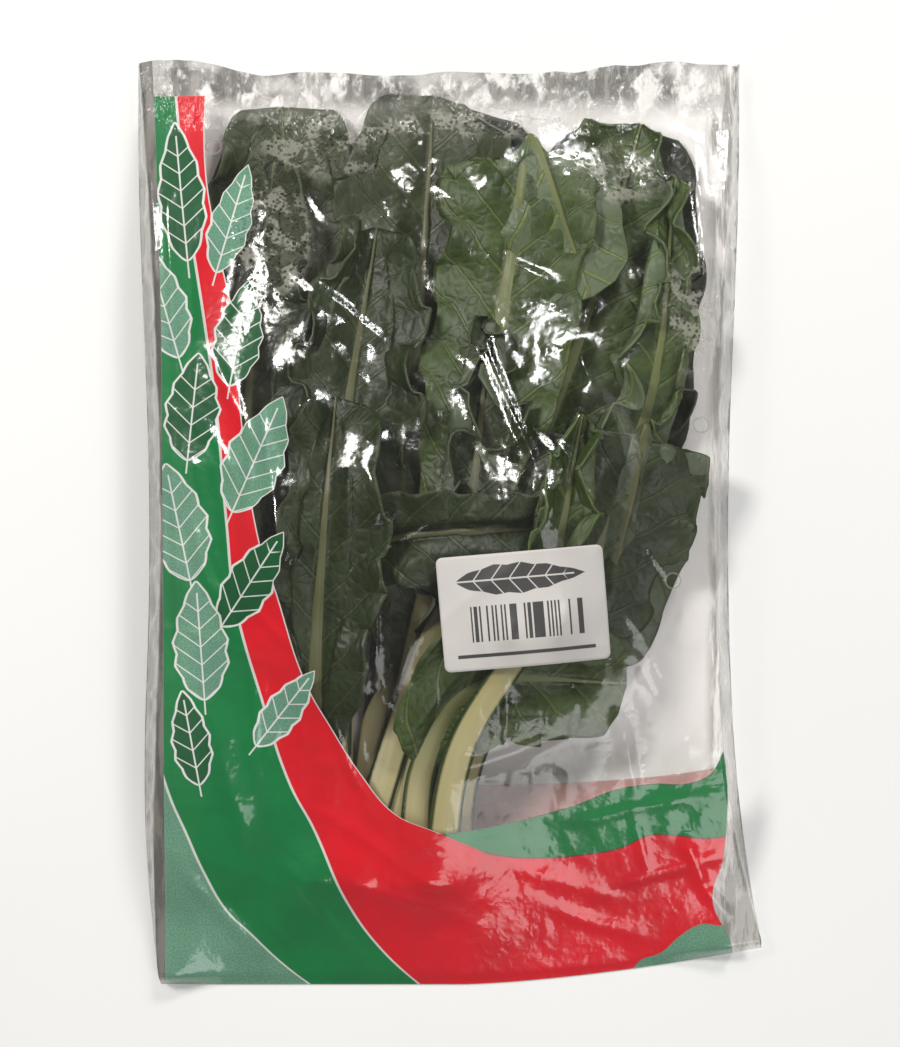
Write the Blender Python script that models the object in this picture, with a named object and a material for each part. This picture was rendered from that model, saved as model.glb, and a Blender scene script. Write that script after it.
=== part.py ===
"""A bunch of Swiss chard in a clear film produce bag, with a price label on the film.

The bag lies on its back panel: stalks towards -Y, mouth towards +Y, front panel up (+Z). The origin is the
centre of the bag's footprint, on the surface that it lies on. Metres.

The bunch is laid down leaf by leaf, as a packer fills the bag. Each leaf is first drawn flat, then its
margins are curled and its tip may be folded over, and then it is lowered onto what lies under it. The whole
bunch is pressed flatter at the end, as the bag presses it.
"""

from collections import namedtuple
from math import cos, pi, radians, sin

import bpy
import numpy as np

MM = 0.001

# Driving dimensions of the bag.
BAG_WIDTH = 214 * MM
BAG_LENGTH = 328 * MM
BAG_WAIST = 4 * MM  # how far each side is drawn in where the bag is full
BAG_LEAN = 4 * MM  # how far the foot lies to the right of the middle, and the mouth to the left
FOOT_RISE = 13 * MM  # how far the foot's right corner is drawn up towards the mouth
SIDE_HEIGHT = 26 * MM  # height of the side gusset where the bag is full
SIDE_SLOPE = 6 * MM  # how far the front panel's edge lies inside the back panel's
FILM = 0.5 * MM  # the film's wall, thick enough to be a solid
SEAL = 7 * MM  # the welded strip at the bag's foot
MOUTH_OPEN = 2 * MM
FRONT_COLUMNS = 15
FRONT_ROWS = 23
FRONT_STEEPEST = 0.75

# Driving dimensions of the leaves, as they are before the bunch is pressed.
BLADE = 0.8 * MM
FLANGE = 0.7 * MM  # what is left of the blade along the stalk
RIB_TIP = 0.5 * MM  # half the midrib's width at the leaf's tip
RIB_DEPTH = 1.6  # how far the midrib stands out of the leaf, as a share of half its width
CURL_RADIUS = 7 * MM
CURL_WIDTH = 17 * MM
RUFFLE_PITCH = 34 * MM

# The price label.
LABEL_SIZE = (58 * MM, 40 * MM)
LABEL_PLACE = (25.5 * MM, -29.5 * MM)
LABEL_TURN = radians(4.9)
LABEL_THICKNESS = 0.3 * MM

# How the bunch is laid down and pressed.
AIR = 0.6 * MM  # left between pieces that touch
CELL = 2 * MM  # pitch of the height map that the leaves are lowered onto
STEEPEST = 0.9  # a leaf leans no steeper than this over an edge below it
PRESS = 0.5  # the full bag presses the bunch to this share of its loose height
FLAT_FLOOR = 68 * MM  # past here the bag's floor rises to the gusset
LEAF_SIDE = 84 * MM  # past here the bag's side turns a leaf's margin up
SIDE_RADIUS = 7 * MM
FACET_SAMPLES = 9
MOST_LIFTS = 60
RIB_SHARE = 0.24  # the columns up to here span the midrib
ACROSS = (-1.0, -0.74, -0.48, -RIB_SHARE, -0.12, 0.0, 0.12, RIB_SHARE, 0.48, 0.74, 1.0)
STALK_ROWS = 3
BLADE_ROWS = 11

# path: the midrib on the bag's plan with the leaf still flat, cut end first (mm).
# stalk: length of the bare stalk (mm). half: half the blade's width (mm). rib: width of the cut end (mm).
# curl: how far the left and right margins roll up (degrees). wave: height of the ruffles (mm).
# face: "upper" or "under", the side that looks up where the leaf isn't folded.
# over: point (mm), heading (degrees) and radius (mm) of the line where the leaf folds over.
Leaf = namedtuple("Leaf", "name path stalk half rib curl wave face over", defaults=(None,))

LEAVES = (
    Leaf("leaf_back_left", ((-46, -129), (-55, -45), (-62, 50), (-57, 144)),
         96, 37, 12, (20, 30), 4, "under"),
    Leaf("leaf_back_right", ((-8, -130), (2, -60), (48, 45), (64, 142)),
         100, 38, 12, (25, 15), 4, "under"),
    Leaf("leaf_back_centre", ((-28, -132), (-20, -40), (-8, 50), (4, 148)),
         98, 42, 13, (15, 20), 4, "under"),
    Leaf("leaf_outer_right", ((0, -128), (8, -78), (54, -8), (66, 80)),
         78, 30, 11, (30, 45), 5, "upper"),
    Leaf("leaf_outer_left", ((-60, -126), (-64, -60), (-62, 0), (-60, 84)),
         72, 27, 10, (40, 25), 4, "upper"),
    Leaf("leaf_heart", ((-18, -128), (-11, -60), (0, 10), (14, 96)),
         84, 32, 11, (30, 30), 4, "upper"),
    Leaf("leaf_mouth_left", ((-38, -131), (-46, -30), (-54, 60), (-60, 148)),
         104, 38, 12, (20, 10), 4, "under"),
    Leaf("leaf_mouth_right", ((-14, -131), (-2, -50), (44, 60), (68, 142)),
         104, 37, 12, (30, 40), 7, "upper"),
    Leaf("leaf_mouth_centre", ((-31, -133), (-20, -25), (-12, 65), (-6, 152)),
         108, 40, 12, (10, 25), 4, "under"),
    Leaf("leaf_curled_right", ((-7, -130), (10, -60), (66, 30), (80, 122)),
         100, 25, 10, (70, 55), 5, "upper"),
    Leaf("leaf_folded_right", ((1, -127), (9, -78), (56, -2), (94, 128)),
         64, 28, 10, (0, 0), 3, "upper", (67, 30, 76, 6)),
    Leaf("leaf_folded_front", ((-22, -128), (-9, -50), (14, 30), (44, 132)),
         74, 38, 12, (0, 0), 3, "upper", (20, 38, 72, 6)),
    Leaf("leaf_folded_top", ((-27, -129), (-8, -30), (16, 60), (36, 206)),
         130, 27, 11, (0, 0), 3, "upper", (27, 130, 96, 7)),
    Leaf("leaf_tall_left", ((-53, -127), (-67, -45), (-71, 45), (-62, 128)),
         94, 24, 10, (35, 20), 4, "under"),
    Leaf("leaf_long_centre", ((-42, -128), (-40, -40), (-37, 30), (-26, 104)),
         92, 28, 11, (35, 20), 4, "upper"),
    Leaf("leaf_ruffled", ((-34, -125), (-14, -60), (6, 0), (14, 72)),
         88, 26, 9, (50, 60), 7, "upper"),
    Leaf("leaf_crossing", ((-62, -122), (-60, -60), (-34, -10), (42, 0)),
         72, 19, 9, (20, 0), 3, "under"),
    Leaf("leaf_low_front", ((-13, -126), (-9, -84), (12, -56), (62, -56)),
         42, 23, 9, (10, 0), 4, "upper"),
    Leaf("leaf_small_right", ((-4, -126), (4, -78), (32, -28), (46, 38)),
         84, 25, 9, (45, 50), 6, "upper"),
    Leaf("leaf_low_left", ((-50, -124), (-48, -76), (-46, -30), (-40, 44)),
         44, 25, 9, (30, 15), 3, "upper"),
)


def along(points, spots):
    """Places and headings at the given lengths along a smooth curve through the points."""
    knots = np.array(points, float) * MM
    ends = (2 * knots[0] - knots[1], 2 * knots[-1] - knots[-2])
    knots = np.vstack([ends[0], knots, ends[1]])
    t = np.linspace(0, 1, 40, endpoint=False)[:, None]
    curve = []
    for a, b, c, d in zip(knots, knots[1:], knots[2:], knots[3:]):
        bend = (c - a) * t + (2 * a - 5 * b + 4 * c - d) * t**2 + (3 * b - a - 3 * c + d) * t**3
        curve.append(b + bend / 2)
    curve = np.vstack([*curve, knots[-2]])
    length = np.concatenate([[0], np.cumsum(np.linalg.norm(np.diff(curve, axis=0), axis=1))])
    heading = np.gradient(curve, length, axis=0)
    heading /= np.linalg.norm(heading, axis=1)[:, None]
    share = np.asarray(spots) * length[-1]
    place = np.stack([np.interp(share, length, curve[:, k]) for k in (0, 1)], -1)
    head = np.stack([np.interp(share, length, heading[:, k]) for k in (0, 1)], -1)
    return place, head, length[-1]


def blade_outline(t):
    """Half the blade's width at share t of its length, as a share of its greatest: broad at the foot."""
    t = np.clip(t, 0, 1)
    return 1.85 * t**0.46 * (1 - t) ** 0.40


def flat_leaf(leaf, rows, columns):
    """The leaf's middle surface with its curls and ruffles, as rows of points over what it lies on."""
    *_, length = along(leaf.path, [0])
    stalk = leaf.stalk * MM / length
    place, head, _ = along(leaf.path, np.clip(rows, 0, 1))
    side = np.stack([head[:, 1], -head[:, 0]], -1)
    t = (rows - stalk) / (1 - stalk)
    rib = np.where(t < 0, 1 - 0.25 * rows / stalk, 0.75 * np.clip(1 - t, 0, 1) ** 1.2)
    rib = rib * leaf.rib * MM / 2 + RIB_TIP
    blade = leaf.half * MM * blade_outline(t) + FLANGE

    c = np.abs(columns)[None, :]
    inner = np.minimum(c / RIB_SHARE, 1) * rib[:, None]
    outer = np.clip((c - RIB_SHARE) / (1 - RIB_SHARE), 0, 1) * blade[:, None]
    reach = inner + outer
    turn = np.where(columns < 0, leaf.curl[0], leaf.curl[1]) * pi / 180
    start = np.maximum(rib + blade - CURL_WIDTH, rib)[:, None]
    past = np.maximum(reach - start, 0)
    rolled = np.minimum(past / CURL_RADIUS, turn[None, :])
    straight = past - rolled * CURL_RADIUS
    lateral = np.minimum(reach, start) + CURL_RADIUS * np.sin(rolled) + straight * np.cos(rolled)
    height = CURL_RADIUS * (1 - np.cos(rolled)) + straight * np.sin(rolled)

    run = np.clip(rows - stalk, 0, 1)[:, None] * length
    open_blade = np.clip(blade / (leaf.half * MM), 0, 1)[:, None]
    phase = columns[None, :] * 2.2 + leaf.half
    ruffle = leaf.wave * MM * open_blade * c**2 * (0.5 + 0.5 * np.sin(run * 2 * pi / RUFFLE_PITCH + phase))
    spread = side[:, None, :] * (np.sign(columns)[None, :] * lateral)[..., None]
    points = np.concatenate([place[:, None, :] + spread, (height + ruffle)[..., None]], -1)
    round_back = np.sqrt(np.clip(1 - (inner / rib[:, None]) ** 2, 0, 1)) * (c < RIB_SHARE)
    depth = RIB_DEPTH * rib[:, None] * round_back
    return points, depth


def fold_over(points, over):
    """Turns everything past the fold line up and back over the rest."""
    x, y, heading, radius = over
    radius *= MM
    ahead = np.array([cos(radians(heading)), sin(radians(heading))])
    past = (points[..., :2] - np.array([x, y]) * MM) @ ahead
    rolled = np.clip(past / radius, 0, pi)
    height = points[..., 2]
    reach = (radius - height) * np.sin(rolled) - np.maximum(past - pi * radius, 0)
    lift = radius * (1 - np.cos(rolled)) + height * np.cos(rolled)
    moved = points[..., :2] + ((reach - past) * (past > 0))[..., None] * ahead
    return np.concatenate([moved, np.where(past > 0, lift, height)[..., None]], -1)


def turn_up_at_sides(points):
    """What would reach through the bag's side is bent up along it."""
    x = points[..., 0]
    past = np.maximum(np.abs(x) - LEAF_SIDE, 0)
    rolled = np.minimum(past / SIDE_RADIUS, pi / 2)
    moved = np.minimum(np.abs(x), LEAF_SIDE) + SIDE_RADIUS * np.sin(rolled)
    lift = SIDE_RADIUS * (1 - np.cos(rolled)) + past - rolled * SIDE_RADIUS
    return np.stack([np.sign(x) * moved, points[..., 1], points[..., 2] + lift], -1)


def normals(points):
    """Unit normals of a grid of points."""
    up = np.gradient(points, axis=0)
    over = np.gradient(points, axis=1)
    n = np.cross(over, up)
    return n / np.maximum(np.linalg.norm(n, axis=-1, keepdims=True), 1e-12)


def skins(points, depth, face):
    """The leaf's two skins, upper and lower as it lies. The midrib stands out of the leaf's own underside."""
    n = normals(points)
    up = n * (BLADE / 2)
    thick = n * (BLADE / 2 + depth[..., None])
    return (points + thick, points - up) if face == "under" else (points + up, points - thick)


def on_facets(grid):
    """Points all over the grid's facets, first by sample and then by cell, for both ways to split a cell."""
    a, b, c, d = grid[:-1, :-1], grid[:-1, 1:], grid[1:, 1:], grid[1:, :-1]
    i, j = np.indices((FACET_SAMPLES + 1,) * 2).reshape(2, -1)
    i, j = (k[i + j <= FACET_SAMPLES] / FACET_SAMPLES for k in (i, j))
    w = np.stack([i, j, 1 - i - j], 1)[:, :, None, None, None]
    halves = ((a, b, c), (a, c, d), (a, b, d), (b, c, d))
    return np.concatenate([w[:, 0] * p + w[:, 1] * q + w[:, 2] * r for p, q, r in halves])


def raise_corners(lack):
    """How far each grid point has to rise, given what is lacking in each cell."""
    short = np.zeros((lack.shape[0] + 1, lack.shape[1] + 1))
    for rows in (slice(None, -1), slice(1, None)):
        for columns in (slice(None, -1), slice(1, None)):
            short[rows, columns] = np.maximum(short[rows, columns], lack)
    return short


class Pile:
    """The height of all that lies in the bag so far, over the bag's plan."""

    def __init__(self, floor):
        self.low = np.array([-0.62 * BAG_WIDTH, -0.56 * BAG_LENGTH])
        shape = np.ceil(-2 * self.low / CELL).astype(int) + 1
        x, y = (self.low[k] + CELL * np.arange(shape[k]) for k in (0, 1))
        self.height = floor(*np.meshgrid(x, y, indexing="ij"))

    def cells(self, points):
        spot = (points[..., :2] - self.low) / CELL
        return [np.clip(spot[..., k], 0, self.height.shape[k] - 1.001) for k in (0, 1)]

    def read(self, points, field):
        i, j = self.cells(points)
        a, b = i.astype(int), j.astype(int)
        u, v = i - a, j - b
        near = field[a, b] * (1 - v) + field[a, b + 1] * v
        far = field[a + 1, b] * (1 - v) + field[a + 1, b + 1] * v
        return near * (1 - u) + far * u

    def add(self, *surfaces):
        for grid in surfaces:
            fine = on_facets(grid)
            i, j = (np.rint(k).astype(int) for k in self.cells(fine))
            np.maximum.at(self.height, (i, j), fine[..., 2])

    def crest(self):
        """The height map with each cell raised to its highest neighbour."""
        out = self.height.copy()
        for axis in (0, 1):
            out = np.maximum.reduce([np.roll(out, 1, axis), out, np.roll(out, -1, axis)])
        return out

    def blanket(self, steepest):
        """A smooth sheet over the pile that is nowhere steeper than given."""
        out = self.crest()
        for _ in range(45):
            for axis in (0, 1):
                for way in (-1, 1):
                    out = np.maximum(out, np.roll(out, way, axis) - steepest * CELL)
        for _ in range(6):
            for axis in (0, 1):
                out = (np.roll(out, 1, axis) + 2 * out + np.roll(out, -1, axis)) / 4
        return np.maximum(out, self.height)

    def lower_onto(self, points, make_skins):
        """Sets a piece on the pile: it follows the blanket, and is raised where a facet would still touch."""
        points = points.copy()
        points[..., 2] += self.read(points, self.blanket(STEEPEST)) + AIR
        crest = self.crest()
        for _ in range(MOST_LIFTS):
            lack = np.max([self.lack(skin, crest) for skin in make_skins(points)], axis=0)
            if lack.max() <= 0:
                break
            points[..., 2] += raise_corners(lack)
        return points

    def lack(self, grid, crest):
        """How far the deepest point of each cell's facets is under the pile, or 0."""
        fine = on_facets(grid)
        return np.maximum((self.read(fine, crest) + AIR - fine[..., 2]).max(axis=0), 0)


def bag_floor(x, y):
    """The inner face of the back panel: flat in the middle, and rising to the gussets."""
    side = np.clip((np.abs(x) - FLAT_FLOOR) / (30 * MM), 0, 1)
    return FILM + AIR + side**2 * 7 * MM


def new_object(name, vertices, faces, material):
    mesh = bpy.data.meshes.new(name)
    mesh.from_pydata([tuple(v) for v in vertices], [], faces)
    mesh.shade_smooth()
    mesh.set_sharp_from_angle(angle=radians(50))
    mesh.materials.append(material)
    made = bpy.data.objects.new(name, mesh)
    bpy.context.scene.collection.objects.link(made)
    return made


def new_material(name, colour, roughness, alpha=1.0):
    material = bpy.data.materials.new(name)
    material.use_nodes = True
    shader = material.node_tree.nodes["Principled BSDF"]
    shader.inputs["Base Color"].default_value = (*colour, 1.0)
    shader.inputs["Roughness"].default_value = roughness
    shader.inputs["Alpha"].default_value = alpha
    return material


def split(a, b, c, d, flipped=False):
    """A quad as two triangles: two skins that are split alike can't cross each other."""
    halves = ((a, b, c), (a, c, d))
    return [half[::-1] for half in halves] if flipped else list(halves)


def slab(name, top, bottom, material):
    """One closed solid between two grids of points of the same size."""
    rows, columns = top.shape[:2]
    index = np.arange(rows * columns).reshape(rows, columns)
    under = index + rows * columns
    faces = []
    for i in range(rows - 1):
        for j in range(columns - 1):
            for skin, flipped in ((index, False), (under, True)):
                faces += split(skin[i, j], skin[i, j + 1], skin[i + 1, j + 1], skin[i + 1, j], flipped)
    loop = [*index[0, :], *index[1:, -1], *index[-1, -2::-1], *index[-2:0:-1, 0]]
    for a, b in zip(loop, loop[1:] + loop[:1]):
        faces.append((b, a, a + rows * columns, b + rows * columns))
    faces = [tuple(int(v) for v in face) for face in faces]
    return new_object(name, np.vstack([top.reshape(-1, 3), bottom.reshape(-1, 3)]), faces, material)


def leaf_rows(leaf):
    """Shares of the leaf's length where its rows lie: closer together over a fold."""
    *_, length = along(leaf.path, [0])
    stalk = leaf.stalk * MM / length
    rows = [*np.linspace(0, stalk, STALK_ROWS, endpoint=False), *np.linspace(stalk, 1, BLADE_ROWS)]
    if leaf.over:
        spots = np.linspace(0, 1, 400)
        place = along(leaf.path, spots)[0]
        ahead = np.array([cos(radians(leaf.over[2])), sin(radians(leaf.over[2]))])
        past = (place - np.array(leaf.over[:2]) * MM) @ ahead
        bend = pi * leaf.over[3] * MM
        first, last = (np.interp(reach, past, spots) for reach in (-0.1 * bend, 1.1 * bend))
        rows = [r for r in rows if not first - 0.02 < r < last + 0.02]
        rows = sorted(rows + list(np.linspace(first, last, 6)))
    return np.array(rows)


def lay_leaf(leaf, pile):
    points, depth = flat_leaf(leaf, leaf_rows(leaf), np.array(ACROSS))
    if leaf.over:
        points = fold_over(points, leaf.over)
    points = turn_up_at_sides(points)
    if leaf.face == "upper":
        points[..., 2] += depth.max(axis=1, keepdims=True) * (1 - 0.8 * np.abs(ACROSS))

    def both(grid):
        return skins(grid, depth, leaf.face)

    points = pile.lower_onto(points, both)
    top, bottom = both(points)
    pile.add(top, bottom)
    return top, bottom


def pressed(points):
    """Pressing the bunch scales every height alike, so pieces that lie clear of each other stay clear."""
    return points * (1, 1, PRESS) + (0, 0, FILM * (1 - PRESS))


def half_width(y):
    """Half the bag's width: drawn in where it is full."""
    full = np.clip(1 - np.abs(y + 5 * MM) / (0.46 * BAG_LENGTH), 0, 1)
    return BAG_WIDTH / 2 - BAG_WAIST * np.sin(full * pi / 2) ** 2


def side_height(y):
    """Height of the front panel's edge: the gusset closes flat towards the foot and the mouth."""
    foot = np.clip((y + BAG_LENGTH / 2 - SEAL) / (95 * MM), 0, 1)
    mouth = np.clip((BAG_LENGTH / 2 - y) / (80 * MM), 0, 1)
    low = 3 * FILM
    return low + (SIDE_HEIGHT - low) * np.sin(foot * pi / 2) * (0.12 + 0.88 * np.sin(mouth * pi / 2))


def on_plan(across, y):
    """The bag's plan, from -1 to 1 across: it lies a little askew, with one corner of its foot drawn up."""
    to_foot = np.clip(-(y + 60 * MM) / (BAG_LENGTH / 2 - 60 * MM), 0, 1)
    x = across * half_width(y) + BAG_LEAN * (2 * to_foot**2 - 1)
    return x, y + FOOT_RISE * np.clip(across, 0, 1) ** 1.5 * to_foot**2


def front_panel(pile):
    """The front panel's inner face, as a grid from the foot to the mouth: a blanket over the whole bunch."""
    y = np.linspace(-BAG_LENGTH / 2 + SEAL, BAG_LENGTH / 2, FRONT_ROWS)[:, None]
    turn = 0.86 * pi / 2
    share = np.sin(np.linspace(-turn, turn, FRONT_COLUMNS))[None, :] / sin(turn)
    edge = side_height(y)
    slope = SIDE_SLOPE * np.clip(edge / SIDE_HEIGHT, 0, 1)
    x, y_there = on_plan(share * (1 - (slope + FILM) / half_width(y)), y)
    dome = edge + 4 * MM * np.sin(np.clip(edge / SIDE_HEIGHT, 0, 1) * pi / 2) * (1 - share**2)
    mouth = MOUTH_OPEN * np.clip(1 - (BAG_LENGTH / 2 - y) / (30 * MM), 0, 1)
    grid = np.stack([x, y_there, np.maximum(dome, edge + mouth * (1 - share**4))], -1)
    blanket = pile.read(grid, pile.blanket(FRONT_STEEPEST)) + AIR
    grid[..., 2] = np.maximum(grid[..., 2], blanket)
    grid[0, :, 2] = 2 * FILM
    crest = pile.crest()
    for _ in range(MOST_LIFTS):
        lack = pile.lack(grid, crest)
        lack[0] = 0
        if lack.max() <= 0:
            break
        grid[..., 2] += raise_corners(lack)
    return grid


def ring(front, y, inset):
    """One cross-section of the bag as a closed loop: front panel, right gusset, back panel, left gusset."""
    top = front + np.array([0, 0, FILM - inset])
    widen = (top[-1, 0] - top[0, 0] + 2 * (FILM - inset)) / (top[-1, 0] - top[0, 0])
    middle = (top[0, 0] + top[-1, 0]) / 2
    top[:, 0] = middle + (top[:, 0] - middle) * widen
    back_share = np.linspace(1, -1, len(front)) * (1 - inset / half_width(y))
    x, y_there = on_plan(back_share, y)
    back = np.stack([x, y_there, np.full_like(x, inset)], -1)
    creases = [(a * 0.35 + b * 0.65) for a, b in ((top[-1], back[0]), (top[0], back[-1]))]
    return np.vstack([top, creases[:1], back, creases[1:]])


def make_bag(front, material):
    """The film bag: an outer and an inner skin joined round the mouth, and welded flat at the foot."""
    stations = np.linspace(-BAG_LENGTH / 2 + SEAL, BAG_LENGTH / 2, FRONT_ROWS)
    outer = [ring(row, y, 0) for row, y in zip(front, stations)]
    inner = [ring(row, y, FILM) for row, y in zip(front, stations)]
    foot = outer[0] - np.array([0, SEAL, 0])
    foot[:, 2] = np.minimum(foot[:, 2], 2 * FILM)
    outer = [foot] + outer
    count = len(foot)
    vertices = np.vstack(outer + inner)
    faces = []

    def tube(first, rings, inward):
        for i in range(rings - 1):
            for j in range(count):
                k = (j + 1) % count
                a, b = first + i * count + j, first + i * count + k
                faces.extend(split(a, b, b + count, a + count, flipped=inward))

    start = len(outer) * count
    tube(0, len(outer), inward=False)
    tube(start, len(inner), inward=True)
    faces.append(tuple(range(count))[::-1])
    faces.append(tuple(range(start, start + count)))
    last_out, last_in = start - count, start + (len(inner) - 1) * count
    for j in range(count):
        k = (j + 1) % count
        faces.append((last_out + j, last_out + k, last_in + k, last_in + j))
    return new_object("film_bag", vertices, faces, material)


def make_label(front, material):
    """The paper label, lying on the film."""
    u = np.linspace(-0.5, 0.5, 7) * LABEL_SIZE[0]
    v = np.linspace(-0.5, 0.5, 5) * LABEL_SIZE[1]
    across, up = np.meshgrid(u, v)
    x = LABEL_PLACE[0] + across * cos(LABEL_TURN) - up * sin(LABEL_TURN)
    y = LABEL_PLACE[1] + across * sin(LABEL_TURN) + up * cos(LABEL_TURN)
    film = Pile(lambda a, b: np.zeros_like(a))
    film.add(front + np.array([0, 0, FILM]))
    points = np.stack([x, y, np.zeros_like(x)], -1)
    thick = np.array([0, 0, LABEL_THICKNESS])
    points = film.lower_onto(points, lambda grid: (grid,))
    return slab("price_label", points + thick, points, material)


def main():
    for old in list(bpy.data.objects):
        bpy.data.objects.remove(old)
    leaf_green = new_material("leaf_green", (0.045, 0.09, 0.025), 0.45)
    film = new_material("clear_film", (0.9, 0.92, 0.92), 0.12, alpha=0.25)
    paper = new_material("label_paper", (0.85, 0.83, 0.81), 0.6)
    loose = Pile(bag_floor)
    full = Pile(bag_floor)
    for leaf in LEAVES:
        top, bottom = (pressed(skin) for skin in lay_leaf(leaf, loose))
        full.add(top, bottom)
        slab(leaf.name, top, bottom, leaf_green)
    front = front_panel(full)
    make_bag(front, film)
    make_label(front, paper)


main()
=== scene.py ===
from collections import namedtuple
from math import atan, cos, pi, radians, sin

import bpy
import numpy as np
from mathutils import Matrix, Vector


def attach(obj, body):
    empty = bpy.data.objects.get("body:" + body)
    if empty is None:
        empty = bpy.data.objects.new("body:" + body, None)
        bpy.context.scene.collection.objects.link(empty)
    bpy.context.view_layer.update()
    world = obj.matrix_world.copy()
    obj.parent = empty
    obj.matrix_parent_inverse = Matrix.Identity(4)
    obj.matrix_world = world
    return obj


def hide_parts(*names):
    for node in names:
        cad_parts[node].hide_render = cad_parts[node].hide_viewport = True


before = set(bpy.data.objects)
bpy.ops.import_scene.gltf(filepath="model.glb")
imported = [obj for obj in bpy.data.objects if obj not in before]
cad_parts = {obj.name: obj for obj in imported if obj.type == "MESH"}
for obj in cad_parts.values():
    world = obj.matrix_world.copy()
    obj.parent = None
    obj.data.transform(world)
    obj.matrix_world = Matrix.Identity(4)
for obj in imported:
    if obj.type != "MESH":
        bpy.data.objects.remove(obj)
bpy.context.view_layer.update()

# ------------------------------------------------------------------------------------------------------------
# The table, the camera and the lamps. The bag lies on a plain pale table and is seen from straight above. A
# window-like lamp on the left and a smaller one behind give the film its long bright streaks.
# ------------------------------------------------------------------------------------------------------------
MM = 0.001
VIEW_TALL = 0.3685  # what the picture's height takes in
VIEW_PLANE = 0.02
CAMERA_HEIGHT = 1.7
LIT_POINT = Vector((0, 0, 0.03))  # the middle of the bag, which all lamps face


def new_material(name):
    """An empty material, and the tree for its nodes."""
    material = bpy.data.materials.new(name)
    material.use_nodes = True
    material.node_tree.nodes.clear()
    return material, material.node_tree


def link_object(name, data):
    made = bpy.data.objects.new(name, data)
    bpy.context.scene.collection.objects.link(made)
    return made


def lamp(name, place, size, watts, colour=(1, 1, 1)):
    """A square soft lamp that faces the middle of the bag."""
    light = bpy.data.lights.new(name, "AREA")
    light.shape = "RECTANGLE"
    light.size, light.size_y = size
    light.energy = watts
    light.color = colour
    made = link_object(name, light)
    made.location = place
    made.rotation_euler = (LIT_POINT - Vector(place)).to_track_quat("-Z", "Y").to_euler()


camera = link_object("camera", bpy.data.cameras.new("camera"))
camera.location = (0, 0, CAMERA_HEIGHT)
camera.data.angle = 2 * atan(VIEW_TALL / 2 / (CAMERA_HEIGHT - VIEW_PLANE))
bpy.context.scene.camera = camera
bpy.context.scene.view_settings.view_transform = "Standard"

lamp("left_window", (-0.6, 0.5, 1.0), (0.27, 0.27), 8.5, (1, 0.98, 0.94))
lamp("rear_lamp", (0.4, 0.85, 0.8), (0.22, 0.22), 5)
lamp("front_fill", (0.45, -0.75, 0.9), (0.6, 0.6), 4)
world = bpy.data.worlds.new("studio")
bpy.context.scene.world = world
world.use_nodes = True
world.node_tree.nodes["Background"].inputs["Color"].default_value = (1, 0.98, 0.96, 1)
world.node_tree.nodes["Background"].inputs["Strength"].default_value = 0.25

table_mesh = bpy.data.meshes.new("table")
table_mesh.from_pydata([(-3, -3, 0), (3, -3, 0), (3, 3, 0), (-3, 3, 0)], [], [(0, 1, 2, 3)])
table = link_object("table", table_mesh)
table.location.z = -0.1 * MM
paint, tree = new_material("table_paint")
output = tree.nodes.new("ShaderNodeOutputMaterial")
shader = tree.nodes.new("ShaderNodeBsdfPrincipled")
tree.links.new(shader.outputs[0], output.inputs["Surface"])
grain = tree.nodes.new("ShaderNodeTexNoise")
grain.inputs["Scale"].default_value = 60
shade = tree.nodes.new("ShaderNodeMix")
shade.data_type = "RGBA"
shade.inputs["A"].default_value = (0.92, 0.92, 0.91, 1)
shade.inputs["B"].default_value = (0.95, 0.95, 0.94, 1)
tree.links.new(grain.outputs["Fac"], shade.inputs["Factor"])
tree.links.new(shade.outputs["Result"], shader.inputs["Base Color"])
shader.inputs["Roughness"].default_value = 0.6
table_mesh.materials.append(paint)

# ------------------------------------------------------------------------------------------------------------
# The leaves. Each is one piece as it grew: a stalk that runs on as the midrib, and a quilted, ruffled blade.
# They are cut at the foot and lie on each other in the bag, with nothing to join them.
# ------------------------------------------------------------------------------------------------------------
BLADE = 0.8 * MM  # before the bunch is pressed
FLANGE = 0.7 * MM
RIB_TIP = 0.35 * MM
RIB_DEPTH = 1.6
RIB_SHARE = 0.24
CURL_RADIUS = 7 * MM
CURL_WIDTH = 17 * MM
SIDE_VEINS = 15 * MM  # pitch of the side veins
VEIN_SLANT = 1.05
AIR = 0.35 * MM
CELL = 1.6 * MM
STEEPEST = 0.9
PRESS = 0.365
FILM = 0.5 * MM
FLAT_FLOOR = 68 * MM
LEAF_SIDE = 84 * MM
SIDE_RADIUS = 7 * MM
REACH = np.array([0.13, 0.184])  # half the plan that the pile is mapped over
NOTCH = 0.22  # how deep the blade's edge is notched, as a share of its width
COARSE_RELIEF = 0.15  # leaves that lie hidden are nearly flat
FINE_RELIEF = 2.1
FRILL_PITCH = 15 * MM
FRILL_RISE, FRILL_SWAY, FRILL_RUN = 0.55, 0.45, 0.65  # the frilled edge's moves: up, out and along
LEAF_SOFTNESS = 14  # rounds of smoothing that a leaf's fall over the pile gets

# path, stalk, half, rib, curl, wave, face and over are as the CAD has them, in mm and degrees.
# tone: which of the leaf colours it has; 'deep' is painted shade, the 'dark' colours at half their brightness,
# for the leaves laid first, low in the pile. pitch: how fine its mesh is.
Leaf = namedtuple("Leaf", "name path stalk half rib curl wave face tone pitch over", defaults=(None,))
FINE = 1.7
COARSE = 3.2

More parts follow.
